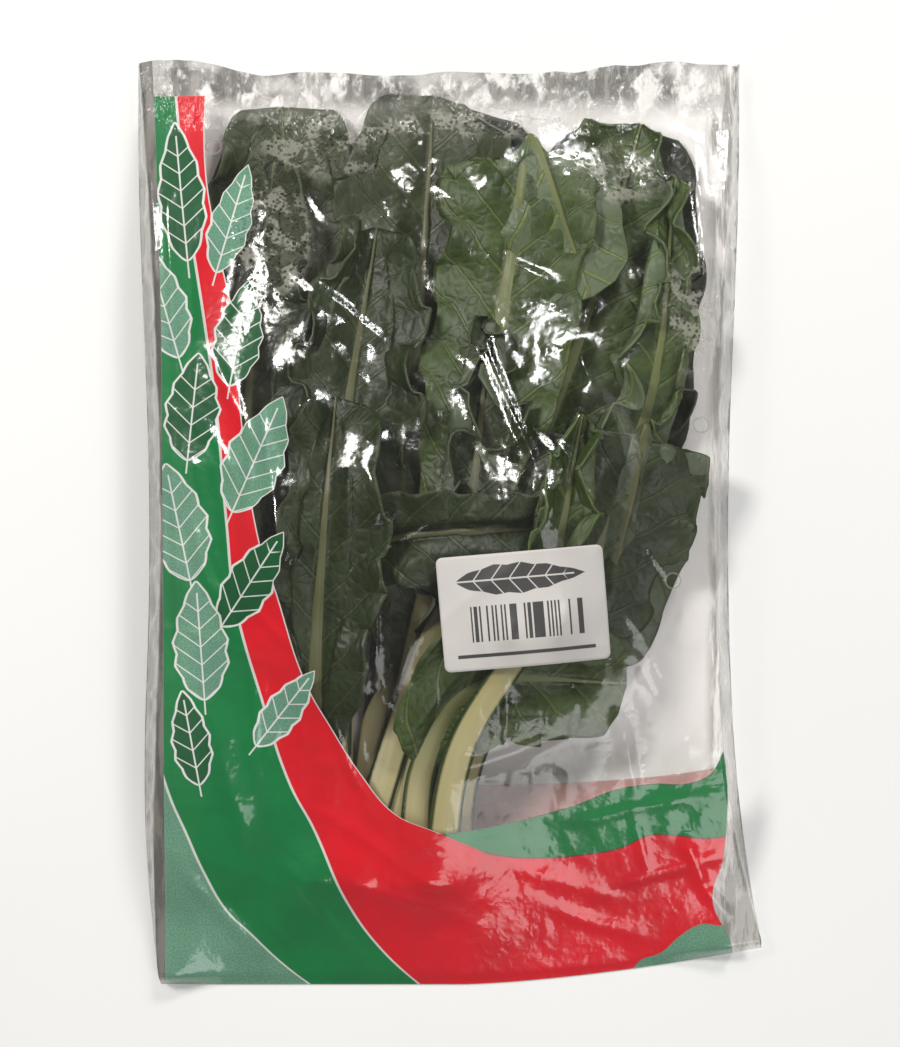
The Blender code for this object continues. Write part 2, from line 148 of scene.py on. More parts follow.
LEAVES = (
    Leaf("leaf_back_left", ((-46, -129), (-55, -45), (-62, 50), (-57, 144)),
         96, 37, 12, (20, 30), 4, "under", "deep", COARSE),
    Leaf("leaf_back_right", ((-8, -130), (2, -60), (48, 45), (64, 142)),
         100, 38, 12, (25, 15), 4, "under", "deep", COARSE),
    Leaf("leaf_back_centre", ((-28, -132), (-20, -40), (-8, 50), (4, 148)),
         98, 42, 13, (15, 20), 4, "under", "deep", COARSE),
    Leaf("leaf_outer_right", ((0, -128), (8, -78), (54, -8), (66, 80)),
         78, 30, 11, (30, 45), 5, "upper", "deep", FINE),
    Leaf("leaf_outer_left", ((-60, -126), (-64, -60), (-62, 0), (-60, 84)),
         72, 27, 10, (40, 25), 4, "upper", "deep", FINE),
    Leaf("leaf_heart", ((-18, -128), (-11, -60), (0, 10), (14, 96)),
         84, 32, 11, (30, 30), 4, "upper", "deep", COARSE),
    Leaf("leaf_mouth_left", ((-38, -131), (-46, -30), (-54, 60), (-60, 148)),
         104, 38, 12, (20, 10), 4, "under", "dull", FINE),
    Leaf("leaf_mouth_right", ((-14, -131), (-2, -50), (44, 60), (68, 142)),
         104, 37, 12, (30, 40), 7, "upper", "fresh", FINE),
    Leaf("leaf_mouth_centre", ((-31, -133), (-20, -25), (-12, 65), (-6, 152)),
         108, 40, 12, (10, 25), 4, "under", "dull", FINE),
    Leaf("leaf_curled_right", ((-7, -130), (10, -60), (66, 30), (80, 122)),
         100, 25, 10, (70, 55), 5, "upper", "fresh", FINE),
    Leaf("leaf_folded_right", ((1, -127), (9, -78), (56, -2), (94, 128)),
         64, 28, 10, (0, 0), 3, "upper", "dark", FINE, (67, 30, 76, 6)),
    Leaf("leaf_folded_front", ((-22, -128), (-9, -50), (14, 30), (44, 132)),
         74, 38, 12, (0, 0), 3, "upper", "dull", FINE, (20, 38, 72, 6)),
    Leaf("leaf_folded_top", ((-27, -129), (-8, -30), (16, 60), (36, 206)),
         130, 27, 11, (0, 0), 3, "upper", "fresh", FINE, (27, 130, 96, 7)),
    Leaf("leaf_tall_left", ((-53, -127), (-67, -45), (-71, 45), (-62, 128)),
         94, 24, 10, (35, 20), 4, "under", "dark", FINE),
    Leaf("leaf_long_centre", ((-42, -128), (-40, -40), (-37, 30), (-26, 104)),
         92, 28, 11, (35, 20), 4, "upper", "dark", FINE),
    Leaf("leaf_ruffled", ((-34, -125), (-14, -60), (6, 0), (14, 72)),
         88, 26, 9, (50, 60), 7, "upper", "dark", FINE),
    Leaf("leaf_crossing", ((-62, -122), (-60, -60), (-34, -10), (42, 0)),
         72, 19, 9, (20, 0), 3, "under", "dark", FINE),
    Leaf("leaf_low_front", ((-13, -126), (-9, -84), (12, -56), (62, -56)),
         42, 23, 9, (10, 0), 4, "upper", "fresh", FINE),
    Leaf("leaf_small_right", ((-4, -126), (4, -78), (32, -28), (46, 38)),
         84, 25, 9, (45, 50), 6, "upper", "fresh", FINE),
    Leaf("leaf_low_left", ((-50, -124), (-48, -76), (-46, -30), (-40, 44)),
         44, 25, 9, (30, 15), 3, "upper", "dark", FINE),
)


def along(points, spots):
    """Places and headings at the given lengths along a smooth curve through the points."""
    knots = np.array(points, float) * MM
    ends = (2 * knots[0] - knots[1], 2 * knots[-1] - knots[-2])
    knots = np.vstack([ends[0], knots, ends[1]])
    t = np.linspace(0, 1, 40, endpoint=False)[:, None]
    curve = []
    for a, b, c, d in zip(knots, knots[1:], knots[2:], knots[3:]):
        bend = (c - a) * t + (2 * a - 5 * b + 4 * c - d) * t**2 + (3 * b - a - 3 * c + d) * t**3
        curve.append(b + bend / 2)
    curve = np.vstack([*curve, knots[-2]])
    length = np.concatenate([[0], np.cumsum(np.linalg.norm(np.diff(curve, axis=0), axis=1))])
    heading = np.gradient(curve, length, axis=0)
    heading /= np.linalg.norm(heading, axis=1)[:, None]
    share = np.asarray(spots) * length[-1]
    place = np.stack([np.interp(share, length, curve[:, k]) for k in (0, 1)], -1)
    head = np.stack([np.interp(share, length, heading[:, k]) for k in (0, 1)], -1)
    return place, head, length[-1]


def swell(u, v, pitch, seed):
    """Smooth noise from 0 to 1 over the plane, with lumps about a pitch apart."""
    lattice = np.random.default_rng(seed).random((64, 64))
    u, v = u / pitch + 17, v / pitch + 17
    i, j = np.floor(u).astype(int), np.floor(v).astype(int)
    a, b = u - i, v - j
    a, b = a * a * (3 - 2 * a), b * b * (3 - 2 * b)
    near = lattice[i % 64, j % 64] * (1 - b) + lattice[i % 64, (j + 1) % 64] * b
    far = lattice[(i + 1) % 64, j % 64] * (1 - b) + lattice[(i + 1) % 64, (j + 1) % 64] * b
    return near * (1 - a) + far * a


def blisters(u, v, pitch, seed):
    """Rounded bulges with sharp creases between them, from 0 to 1."""
    jitter = np.random.default_rng(seed).random((64, 64, 2))
    u, v = u / pitch + 17, v / pitch + 17
    i, j = np.floor(u).astype(int), np.floor(v).astype(int)
    near = np.full(u.shape, 9.0)
    for di in (-1, 0, 1):
        for dj in (-1, 0, 1):
            spot = jitter[(i + di) % 64, (j + dj) % 64]
            apart = (i + di + spot[..., 0] - u) ** 2 + (j + dj + spot[..., 1] - v) ** 2
            near = np.minimum(near, apart)
    return np.clip(1 - near, 0, 1)


def blade_outline(t):
    """Half the blade's width at share t of its length, as a share of its greatest: broad at the foot."""
    t = np.clip(t, 0, 1)
    return 1.62 * t**0.44 * (1 - t) ** 0.28


def relief(leaf, s, w, c, seed):
    """How far the blade stands up from its midrib's level: ruffles, quilting and blisters, as pressed."""
    ruffle_at = s / (27 * MM) + 0.9 * swell(s, w * 0, 38 * MM, seed) + np.sign(w) * 0.21
    ruffle = leaf.wave * MM * np.abs(c) ** 1.7 * (0.5 + 0.5 * np.sin(2 * pi * ruffle_at))
    frill_at = s / (9.5 * MM) + 1.6 * swell(s, w, 20 * MM, seed + 1)
    frill = 0.22 * leaf.wave * MM * np.abs(c) ** 5 * (0.5 + 0.5 * np.sin(2 * pi * frill_at))
    vein_at = (s - VEIN_SLANT * np.abs(w)) / SIDE_VEINS + 0.5 * (w > 0)
    quilt = np.abs(np.sin(pi * vein_at)) ** 0.8 * np.clip(np.abs(w) / (9 * MM), 0, 1)
    quilt = 1.1 * MM * quilt * (1 - 0.5 * np.abs(c) ** 3)
    bulge = 0.3 * MM * blisters(s, w, 7.5 * MM, seed + 2) * np.clip(np.abs(w) / (5 * MM), 0, 1)
    sway = 2.2 * MM * swell(s, w, 30 * MM, seed + 3) * np.clip(np.abs(w) / (10 * MM), 0, 1)
    kink = 1 - np.abs(2 * swell(s, w * 1.4, 27 * MM, seed + 6) - 1)
    kink = 4.2 * MM * kink**2 * np.clip(np.abs(w) / (8 * MM), 0, 1)
    return ruffle + frill + quilt + bulge + sway + kink


def flat_leaf(leaf, seed):
    """The leaf's middle surface over what it lies on, its midrib's depth, and its own flat coordinates."""
    *_, length = along(leaf.path, [0])
    foot = leaf.stalk * MM
    pitch = leaf.pitch * MM
    blade_rows = np.linspace(foot, length, int((length - foot) / pitch))
    rows = np.concatenate([np.arange(0, foot, 2 * pitch), blade_rows])
    rib_columns = np.linspace(0, RIB_SHARE, 5)
    blade_columns = np.linspace(RIB_SHARE, 1, int(leaf.half / leaf.pitch) + 1)[1:]
    half_columns = np.concatenate([rib_columns, blade_columns])
    columns = np.concatenate([-half_columns[:0:-1], half_columns])
    place, head, _ = along(leaf.path, rows / length)
    side = np.stack([head[:, 1], -head[:, 0]], -1)
    t = (rows - foot) / (length - foot)
    rib = np.where(t < 0, 1 - 0.25 * rows / foot, 0.75 * np.clip(1 - t, 0, 1) ** 1.2)
    rib = rib * leaf.rib * MM / 2 + RIB_TIP
    blade = leaf.half * MM * blade_outline(t) + FLANGE

    c = np.abs(columns)[None, :]
    notches = swell(rows[:, None], np.sign(columns)[None, :] * 0.05, 13 * MM, seed + 5)
    notch = 1 - NOTCH * notches * (t > 0)[:, None]
    inner = np.minimum(c / RIB_SHARE, 1) * rib[:, None]
    outer = np.clip((c - RIB_SHARE) / (1 - RIB_SHARE), 0, 1) * blade[:, None] * notch
    reach = inner + outer
    turn = np.where(columns < 0, leaf.curl[0], leaf.curl[1]) * pi / 180
    start = np.maximum(rib + blade - CURL_WIDTH, rib)[:, None]
    past = np.maximum(reach - start, 0)
    rolled = np.minimum(past / CURL_RADIUS, turn[None, :])
    straight = past - rolled * CURL_RADIUS
    lateral = np.minimum(reach, start) + CURL_RADIUS * np.sin(rolled) + straight * np.cos(rolled)
    height = CURL_RADIUS * (1 - np.cos(rolled)) + straight * np.sin(rolled)

    s = (rows - foot)[:, None] + 0 * reach
    w = np.sign(columns)[None, :] * reach
    share = np.clip((c - RIB_SHARE) / (1 - RIB_SHARE), 0, 1) * np.sign(columns)[None, :]
    open_blade = np.clip(blade / (leaf.half * MM), 0, 1)[:, None] * (share != 0)
    strength = COARSE_RELIEF if leaf.pitch == COARSE else FINE_RELIEF
    stand = relief(leaf, s, w, share, seed) * open_blade * strength
    lateral = lateral - stand * np.sin(rolled)
    height = height + stand * np.cos(rolled)
    frill = leaf.wave * MM * np.abs(share) ** 2.5 * open_blade * (leaf.pitch == FINE)
    frill_at = 2 * pi * (s / FRILL_PITCH + 1.3 * swell(s, w, 42 * MM, seed + 8) + 0.3 * np.sign(w))
    height = height + FRILL_RISE * frill * (1 + np.cos(frill_at))
    lateral = lateral + FRILL_SWAY * frill * np.sin(frill_at * 0.5 + 1)
    spread = side[:, None, :] * (np.sign(columns)[None, :] * lateral)[..., None]
    spread = spread + head[:, None, :] * (FRILL_RUN * frill * np.sin(frill_at))[..., None]
    points = np.concatenate([place[:, None, :] + spread, height[..., None]], -1)
    round_back = np.sqrt(np.clip(1 - (inner / rib[:, None]) ** 2, 0, 1)) * (c < RIB_SHARE)
    depth = RIB_DEPTH * rib[:, None] * round_back
    if leaf.face == "upper":
        points[..., 2] += depth.max(axis=1, keepdims=True) * (1 - 0.8 * c)
    part = np.stack([columns[None, :] + 0 * s, t[:, None] + 0 * s], -1)
    return points, depth, np.stack([w, s], -1), part


def fold_over(points, over):
    """Turns everything past the fold line up and back over the rest."""
    x, y, heading, radius = over
    radius *= MM
    ahead = np.array([cos(radians(heading)), sin(radians(heading))])
    past = (points[..., :2] - np.array([x, y]) * MM) @ ahead
    rolled = np.clip(past / radius, 0, pi)
    height = points[..., 2]
    reach = (radius - height) * np.sin(rolled) - np.maximum(past - pi * radius, 0)
    lift = radius * (1 - np.cos(rolled)) + height * np.cos(rolled)
    moved = points[..., :2] + ((reach - past) * (past > 0))[..., None] * ahead
    return np.concatenate([moved, np.where(past > 0, lift, height)[..., None]], -1)


def turn_up_at_sides(points):
    """What would reach through the bag's side is bent up along it."""
    x = points[..., 0]
    past = np.maximum(np.abs(x) - LEAF_SIDE, 0)
    rolled = np.minimum(past / SIDE_RADIUS, pi / 2)
    moved = np.minimum(np.abs(x), LEAF_SIDE) + SIDE_RADIUS * np.sin(rolled)
    lift = SIDE_RADIUS * (1 - np.cos(rolled)) + past - rolled * SIDE_RADIUS
    return np.stack([np.sign(x) * moved, points[..., 1], points[..., 2] + lift], -1)


def normals(points):
    """Unit normals of a grid of points."""
    n = np.cross(np.gradient(points, axis=1), np.gradient(points, axis=0))
    return n / np.maximum(np.linalg.norm(n, axis=-1, keepdims=True), 1e-12)


def skins(points, depth, face):
    """The leaf's two skins, upper and lower as it lies. The midrib stands out of the leaf's own underside."""
    n = normals(points)
    up = n * (BLADE / 2)
    thick = n * (BLADE / 2 + depth[..., None])
    return (points + thick, points - up) if face == "under" else (points + up, points - thick)


def between(field, i, j, u, v):
    """The field's value at shares u and v of the way across its cells i, j."""
    near = field[i, j] * (1 - v) + field[i, j + 1] * v
    far = field[i + 1, j] * (1 - v) + field[i + 1, j + 1] * v
    return near * (1 - u) + far * u


class Pile:
    """The height of all that lies in the bag so far, over the bag's plan."""

    def __init__(self, floor):
        x, y = (np.arange(-far, far, CELL) for far in REACH)
        self.height = floor(*np.meshgrid(x, y, indexing="ij"))

    def cells(self, points):
        spot = (points[..., :2] + REACH) / CELL
        return [np.clip(spot[..., k], 0, self.height.shape[k] - 1.001) for k in (0, 1)]

    def read(self, points, field):
        i, j = self.cells(points)
        a, b = i.astype(int), j.astype(int)
        return between(field, a, b, i - a, j - b)

    def add(self, *surfaces):
        for grid in surfaces:
            a, b, c, d = grid[:-1, :-1], grid[:-1, 1:], grid[1:, 1:], grid[1:, :-1]
            for u in np.linspace(0, 1, 5):
                for v in np.linspace(0, 1, 4):
                    fine = (a * (1 - v) + b * v) * (1 - u) + (d * (1 - v) + c * v) * u
                    i, j = (np.rint(k).astype(int) for k in self.cells(fine))
                    np.maximum.at(self.height, (i, j), fine[..., 2])

    def blanket(self, steepest, softness):
        """A smooth sheet over the pile that is nowhere steeper than given."""
        out = self.height.copy()
        for axis in (0, 1):
            out = np.maximum.reduce([np.roll(out, 1, axis), out, np.roll(out, -1, axis)])
        top = out.copy()
        for _ in range(40):
            for axis in (0, 1):
                for way in (-1, 1):
                    out = np.maximum(out, np.roll(out, way, axis) - steepest * CELL)
        for _ in range(softness):
            for axis in (0, 1):
                out = (np.roll(out, 1, axis) + 2 * out + np.roll(out, -1, axis)) / 4
        return np.maximum(out, top - 0.4 * MM)


def bag_floor(x, y):
    """The inner face of the back panel: flat in the middle, and rising to the gussets."""
    side = np.clip((np.abs(x) - FLAT_FLOOR) / (30 * MM), 0, 1)
    return FILM + AIR + side**2 * 7 * MM


def pressed(points):
    return points * (1, 1, PRESS) + (0, 0, FILM * (1 - PRESS))


def quad_mesh(name, points, quads):
    mesh = bpy.data.meshes.new(name)
    mesh.vertices.add(len(points))
    mesh.vertices.foreach_set("co", points.ravel())
    mesh.loops.add(quads.size)
    mesh.loops.foreach_set("vertex_index", quads.ravel())
    mesh.polygons.add(len(quads))
    mesh.polygons.foreach_set("loop_start", np.arange(0, quads.size, 4))
    mesh.update(calc_edges=True)
    return mesh


def add_layer(mesh, name, values):
    """A UV map with the given corner values."""
    mesh.uv_layers.new(name=name).uv.foreach_set("vector", values.ravel())


def carry(mesh, name, values):
    """A number at each of the mesh's points."""
    mesh.attributes.new(name, "FLOAT", "POINT").data.foreach_set("value", values.ravel())


def solid_between(name, top, bottom, maps):
    """One closed mesh between two grids of points, with UV maps and a number that is 1 on its underside."""
    rows, columns = top.shape[:2]
    index = np.arange(rows * columns).reshape(rows, columns)
    under = index + rows * columns
    quads = [
        np.stack([index[:-1, :-1], index[:-1, 1:], index[1:, 1:], index[1:, :-1]], -1).reshape(-1, 4),
        np.stack([under[:-1, :-1], under[1:, :-1], under[1:, 1:], under[:-1, 1:]], -1).reshape(-1, 4),
    ]
    loop = np.concatenate([index[0, :], index[1:, -1], index[-1, -2::-1], index[-2:0:-1, 0]])
    onward = np.roll(loop, -1)
    quads.append(np.stack([onward, loop, loop + rows * columns, onward + rows * columns], -1))
    quads = np.vstack(quads)
    mesh = quad_mesh(name, np.vstack([top.reshape(-1, 3), bottom.reshape(-1, 3)]), quads)
    for layer, values in maps.items():
        add_layer(mesh, layer, np.vstack([values.reshape(-1, 2)] * 2)[quads.ravel()])
    carry(mesh, "underside", np.repeat([0.0, 1.0], rows * columns))
    mesh.shade_smooth()
    return link_object(name, mesh)


loose = Pile(bag_floor)
full = Pile(bag_floor)
laid = {}
for seed, leaf in enumerate(LEAVES):
    points, depth, flat, across = flat_leaf(leaf, 100 * seed)
    if leaf.over:
        points = fold_over(points, leaf.over)
    points = turn_up_at_sides(points)
    points[..., 2] += loose.read(points, loose.blanket(STEEPEST, LEAF_SOFTNESS)) + AIR
    top, bottom = skins(points, depth, leaf.face)
    loose.add(top, bottom)
    top, bottom = pressed(top), pressed(bottom)
    full.add(top, bottom)
    maps = {"leaf": flat, "part": across}
    laid[leaf.name] = solid_between(leaf.name.replace("leaf_", "chard_leaf_"), top, bottom, maps)


def group(name, inputs, outputs):
    """An empty shader group with the given sockets, and its input and output nodes."""
    made = bpy.data.node_groups.new(name, "ShaderNodeTree")
    for title, kind in inputs:
        made.interface.new_socket(title, in_out="INPUT", socket_type=kind)
    for title, kind in outputs:
        made.interface.new_socket(title, in_out="OUTPUT", socket_type=kind)
    return made, made.nodes.new("NodeGroupInput"), made.nodes.new("NodeGroupOutput")


class Sums:
    """Short forms for the math nodes of one node tree. Anything that isn't a socket is set as a value."""

    def __init__(self, tree):
        self.tree = tree

    def node(self, kind, **settings):
        made = self.tree.nodes.new(kind)
        for key, value in settings.items():
            setattr(made, key, value)
        return made

    def put(self, socket, value):
        if isinstance(value, bpy.types.NodeSocket):
            self.tree.links.new(value, socket)
        else:
            socket.default_value = value

    def __call__(self, operation, *values, clamp=False):
        made = self.node("ShaderNodeMath", operation=operation, use_clamp=clamp)
        for socket, value in zip(made.inputs, values):
            self.put(socket, value)
        return made.outputs[0]

    def band(self, value, low, high, to_low=0.0, to_high=1.0):
        """The value's smooth step from low to high."""
        made = self.node("ShaderNodeMapRange", interpolation_type="SMOOTHSTEP")
        for socket, number in zip(made.inputs, (value, low, high, to_low, to_high)):
            self.put(socket, number)
        return made.outputs[0]

    def blend(self, factor, a, b, how="MIX"):
        made = self.node("ShaderNodeMix", data_type="RGBA", blend_type=how)
        for socket, value in ((made.inputs["Factor"], factor), (made.inputs["A"], a), (made.inputs["B"], b)):
            self.put(socket, value if isinstance(value, (float, bpy.types.NodeSocket)) else (*value, 1))
        return made.outputs["Result"]

    def chain(self, operation, values):
        """One operation over all the values, from the first on."""
        total = values[0]
        for value in values[1:]:
            total = self(operation, total, value)
        return total

    def times(self, *values):
        return self.chain("MULTIPLY", values)

    def plus(self, *values):
        return self.chain("ADD", values)

    def most(self, *values):
        return self.chain("MAXIMUM", values)

    def less(self, whole, part):
        return self("SUBTRACT", whole, part)

    def size(self, value):
        return self("ABSOLUTE", value)

    def made_with(self, kind, settings, **inputs):
        """A node with its settings, and its inputs by name, in which _ stands for a space."""
        made = self.node(kind, **settings)
        for title, value in inputs.items():
            self.put(made.inputs[title.replace("_", " ")], value)
        return made

    def noise(self, place, scale, detail=2.0, rough=0.5):
        sizes = {"Vector": place, "Scale": scale, "Detail": detail, "Roughness": rough}
        return self.made_with("ShaderNodeTexNoise", {}, **sizes).outputs["Fac"]

    def split(self, vector):
        return self.made_with("ShaderNodeSeparateXYZ", {}, Vector=vector).outputs

    def stretched(self, place, scale, turn=0.0):
        """The place, turned (degrees) and scaled, for a noise that runs one way."""
        turned = (0, 0, radians(turn))
        return self.made_with("ShaderNodeMapping", {}, Vector=place, Rotation=turned, Scale=scale).outputs[0]

    def layer(self, name, scale=None):
        """A UV map by its name, scaled where a scale is given."""
        flat = self.node("ShaderNodeUVMap", uv_map=name).outputs[0]
        if scale is None:
            return flat
        made = self.node("ShaderNodeVectorMath", operation="SCALE")
        self.put(made.inputs[0], flat)
        self.put(made.inputs["Scale"], scale)
        return made.outputs[0]

    def painted(self, name):
        """A number that the mesh carries at each of its points."""
        return self.node("ShaderNodeAttribute", attribute_name=name).outputs["Fac"]

    def bump(self, height, distance, strength=1.0):
        made = self.made_with("ShaderNodeBump", {}, Height=height, Distance=distance, Strength=strength)
        return made.outputs[0]

    def surface(self, shader):
        """Makes the shader the material's surface."""
        self.put(self.node("ShaderNodeOutputMaterial").inputs["Surface"], shader.outputs[0])


leaf_veins, given, result = group(
    "leaf_veins",
    [("Flat", "NodeSocketVector"), ("Across", "NodeSocketVector")],
    [(title, "NodeSocketFloat") for title in ("Rib", "Side Veins", "Net", "Height")],
)
sums = Sums(leaf_veins)
from_rib, up_leaf, _ = sums.split(given.outputs["Flat"])
part_across, part_up, _ = sums.split(given.outputs["Across"])
w_size = sums.size(from_rib)
wander = sums.noise(given.outputs["Flat"], 90.0)
other_side = sums.times(sums("GREATER_THAN", from_rib, 0.0), 0.5)
vein_at = sums("DIVIDE", sums.less(up_leaf, sums.times(w_size, VEIN_SLANT)), SIDE_VEINS)
vein_at = sums.plus(vein_at, other_side, sums.times(wander, 0.18))
from_vein = sums.times(sums("PINGPONG", vein_at, 0.5), SIDE_VEINS)
vein_half = sums.band(w_size, 0.0, 0.03, 0.75 * MM, 0.3 * MM)
side_veins = sums.band(from_vein, vein_half, sums.plus(vein_half, 0.5 * MM), 1.0, 0.0)
on_blade = sums.band(part_up, 0.0, 0.03)
side_veins = sums.times(side_veins, on_blade)
bent = sums.node("ShaderNodeMix", data_type="VECTOR")
sums.put(bent.inputs["A"], given.outputs["Flat"])
sums.put(bent.inputs["B"], wander.node.outputs["Color"])
bent.inputs["Factor"].default_value = 0.004
edges = {"feature": "DISTANCE_TO_EDGE"}
cells = sums.made_with("ShaderNodeTexVoronoi", edges, Vector=bent.outputs["Result"], Scale=260)
net = sums.times(sums.band(cells.outputs["Distance"], 0.02, 0.14, 1.0, 0.0), on_blade)
rib = sums.band(sums.size(part_across), RIB_SHARE * 0.8, RIB_SHARE * 1.05, 1.0, 0.0)
domes = sums.band(cells.outputs["Distance"], 0.0, 0.35)
grooves = sums.less(sums.times(domes, 0.35), sums.times(side_veins, 0.8))
strings = sums.noise(given.outputs["Flat"], 1400.0, 1.0)
height = sums.plus(sums.times(grooves, sums.less(1.0, rib)), sums.times(strings, 0.12))
for title, value in (("Rib", rib), ("Side Veins", side_veins), ("Net", net), ("Height", height)):
    sums.put(result.inputs[title], value)

LEAF_BUMP = 0.45 * MM
STALK_PALE = (0.50, 0.44, 0.22)
LEAF_TONES = {
    # deep: painted shade, the dark colours at half their brightness, so that the leaves low in the pile look
    # shaded.
    "deep": ((0.003, 0.006, 0.001), (0.010, 0.016, 0.003), (0.024, 0.034, 0.008)),
    "dark": ((0.006, 0.012, 0.002), (0.023, 0.038, 0.006), (0.045, 0.064, 0.014)),
    "dull": ((0.014, 0.022, 0.005), (0.038, 0.052, 0.014), (0.070, 0.088, 0.028)),
    "fresh": ((0.014, 0.030, 0.003), (0.052, 0.088, 0.010), (0.11, 0.15, 0.03)),
}


def leaf_material(name, deep, light, vein):
    material, tree = new_material(name)
    sums = Sums(tree)
    flat, across = sums.layer("leaf"), sums.layer("part")
    veins = sums.made_with("ShaderNodeGroup", {"node_tree": leaf_veins}, Flat=flat, Across=across)
    part_across, part_up, _ = sums.split(across)
    patches = sums.noise(flat, 45.0, 4.0, 0.6)
    specks = sums.noise(flat, 700.0, 2.0)
    green = sums.blend(sums.band(patches, 0.3, 0.7), deep, light)
    green = sums.blend(sums.times(specks, 0.35), green, light)
    green = sums.blend(sums.times(veins.outputs["Net"], 0.16), green, vein)
    green = sums.blend(sums.times(veins.outputs["Side Veins"], 0.5), green, vein)
    edge = sums.band(sums.size(part_across), 0.965, 1.0)
    green = sums.blend(sums.times(edge, 0.35), green, vein)
    paler = [0.55 * a + 0.45 * b for a, b in zip(light, (0.16, 0.19, 0.13))]
    below = sums.blend(sums.times(veins.outputs["Side Veins"], 0.8), paler, [1.3 * v for v in vein])
    green = sums.blend(sums.band(sums.painted("underside"), 0.4, 0.6), green, below)
    stringy = sums.noise(sums.stretched(flat, (900, 30, 1)), 1.0, 3.0)
    far = sums.band(part_up, -0.2, 0.3)
    stalk = sums.blend(far, STALK_PALE, [0.95 * v for v in vein])
    stalk = sums.blend(sums.times(stringy, 0.5), stalk, [0.6 * v for v in STALK_PALE])
    colour = sums.blend(veins.outputs["Rib"], green, stalk)
    dull = sums.band(patches, 0.2, 0.8, 0.4, 0.58)
    bump = sums.bump(veins.outputs["Height"], LEAF_BUMP)
    sums.surface(sums.made_with("ShaderNodeBsdfPrincipled", {}, Base_Color=colour, Roughness=dull, Normal=bump))
    return material


leaf_skins = {tone: leaf_material("chard_" + tone, *colours) for tone, colours in LEAF_TONES.items()}
for leaf in LEAVES:
    piece = laid[leaf.name]
    piece.data.materials.append(leaf_skins[leaf.tone])
    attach(piece, "root")
    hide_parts(leaf.name)


# ------------------------------------------------------------------------------------------------------------
# The bag. It is one piece of clear polypropylene film, folded to a front and a back panel with a gusset on
# each side and welded at the foot. It lies over the leaves' high points, and is creased where it was packed.
# ------------------------------------------------------------------------------------------------------------
BAG_WIDTH = 214 * MM
BAG_LENGTH = 328 * MM
BAG_WAIST = 4 * MM
BAG_LEAN = 4 * MM
FOOT_RISE = 13 * MM
SIDE_HEIGHT = 26 * MM
SIDE_SLOPE = 6 * MM
SEAL = 7 * MM
FRONT_ACROSS = 161
SIDE_ACROSS = 9
BACK_ACROSS = 45
BAG_ROWS = 253
LIMP = 420  # rounds of smoothing that the film takes over the leaves
LAST_ROUNDS = 6  # and the rounds after those, in which it may touch the leaves
WELD_EDGE = 1.0 * MM  # height of the front panel at the weld
MOUTH_DEPTH = 34 * MM  # how far in from the mouth the film is gathered
SMALL_CREASES = 150
# Each crease runs from one point to another, and has a width and a height, all in mm.
CREASES = (
    (44, 62, 52, 44, 8, 2.6), (52, 44, 62, 18, 9, 3.0), (28, 36, 60, 4, 3, 1.2), (60, 4, 78, -22, 3, 1.3),
    (-18, 130, -6, 122, 9, 2.2), (-6, 122, 9, 108, 8, 2.0), (-30, 8, -26, -20, 7, 1.8),
    (-27, -24, -26, -48, 3, 1.2), (-71, -46, -68, -84, 2.5, 1.2), (-84, -62, -74, -104, 6, 1.8),
    (82, -112, 90, -128, 4, 1.8), (90, -128, 99, -140, 3, 1.4), (66, -106, 70, -122, 3, 1.2),
    (64, 92, 84, 60, 4, 1.6), (70, -40, 84, -78, 5, 1.8), (58, -66, 66, -96, 3, 1.3),
    (-60, 112, -40, 140, 4, 1.6), (-52, 88, -20, 60, 3, 1.2), (10, 96, 36, 84, 4, 1.6),
    (0, -88, 40, -74, 4, 1.4), (-66, 40, -58, -10, 4, 1.4), (-44, -62, -30, -96, 3, 1.2),
    (20, -120, 60, -132, 6, 0.8), (-30, -128, 6, -140, 4, 0.7), (-96, -120, -70, -150, 4, 0.9),
    (-60, -118, -34, -152, 4, 0.8), (34, -134, 74, -150, 5, 0.8), (40, -104, 88, -98, 4, 0.9),
    (-84, 60, -66, 24, 4, 1.4), (-90, 0, -76, -40, 4, 1.4), (56, -128, 96, -116, 4, 0.9),
    (90, 60, 95, 10, 2.5, 1.6), (90, -10, 95, -70, 2.5, 1.6), (85, 130, 93, 70, 3, 1.6),
    (-98, 120, -95, 50, 2.5, 1.4), (-97, 30, -94, -60, 2.5, 1.4), (-48, -100, -10, -124, 4, 0.9),
    (8, 70, 30, 20, 3, 1.4),
)

# Where breath of the leaves has settled inside the film: place, then half width and half length, in mm.
DAMP = ((-42, 135, 28, 13), (58, 123, 17, 11), (84, 74, 10, 22), (-62, 100, 14, 22), (8, 142, 34, 7))


def half_width(y):
    full = np.clip(1 - np.abs(y + 5 * MM) / (0.46 * BAG_LENGTH), 0, 1)
    return BAG_WIDTH / 2 - BAG_WAIST * np.sin(full * pi / 2) ** 2


def side_height(y):
    """Height of the front panel's edge: the gusset closes flat towards the foot and the mouth."""
    foot = np.clip((y + BAG_LENGTH / 2 - SEAL) / (95 * MM), 0, 1)
    mouth = np.clip((BAG_LENGTH / 2 - y) / (80 * MM), 0, 1)
    low = 3 * FILM
    return low + (SIDE_HEIGHT - low) * np.sin(foot * pi / 2) * (0.12 + 0.88 * np.sin(mouth * pi / 2))


def on_plan(across, y):
    """The bag's plan, from -1 to 1 across: it lies a little askew, with one corner of its foot drawn up."""
    to_foot = np.clip(-(y + 60 * MM) / (BAG_LENGTH / 2 - 60 * MM), 0, 1)
    x = across * half_width(y) + BAG_LEAN * (2 * to_foot**2 - 1)
    return x, y + FOOT_RISE * np.clip(across, 0, 1) ** 1.5 * to_foot**2


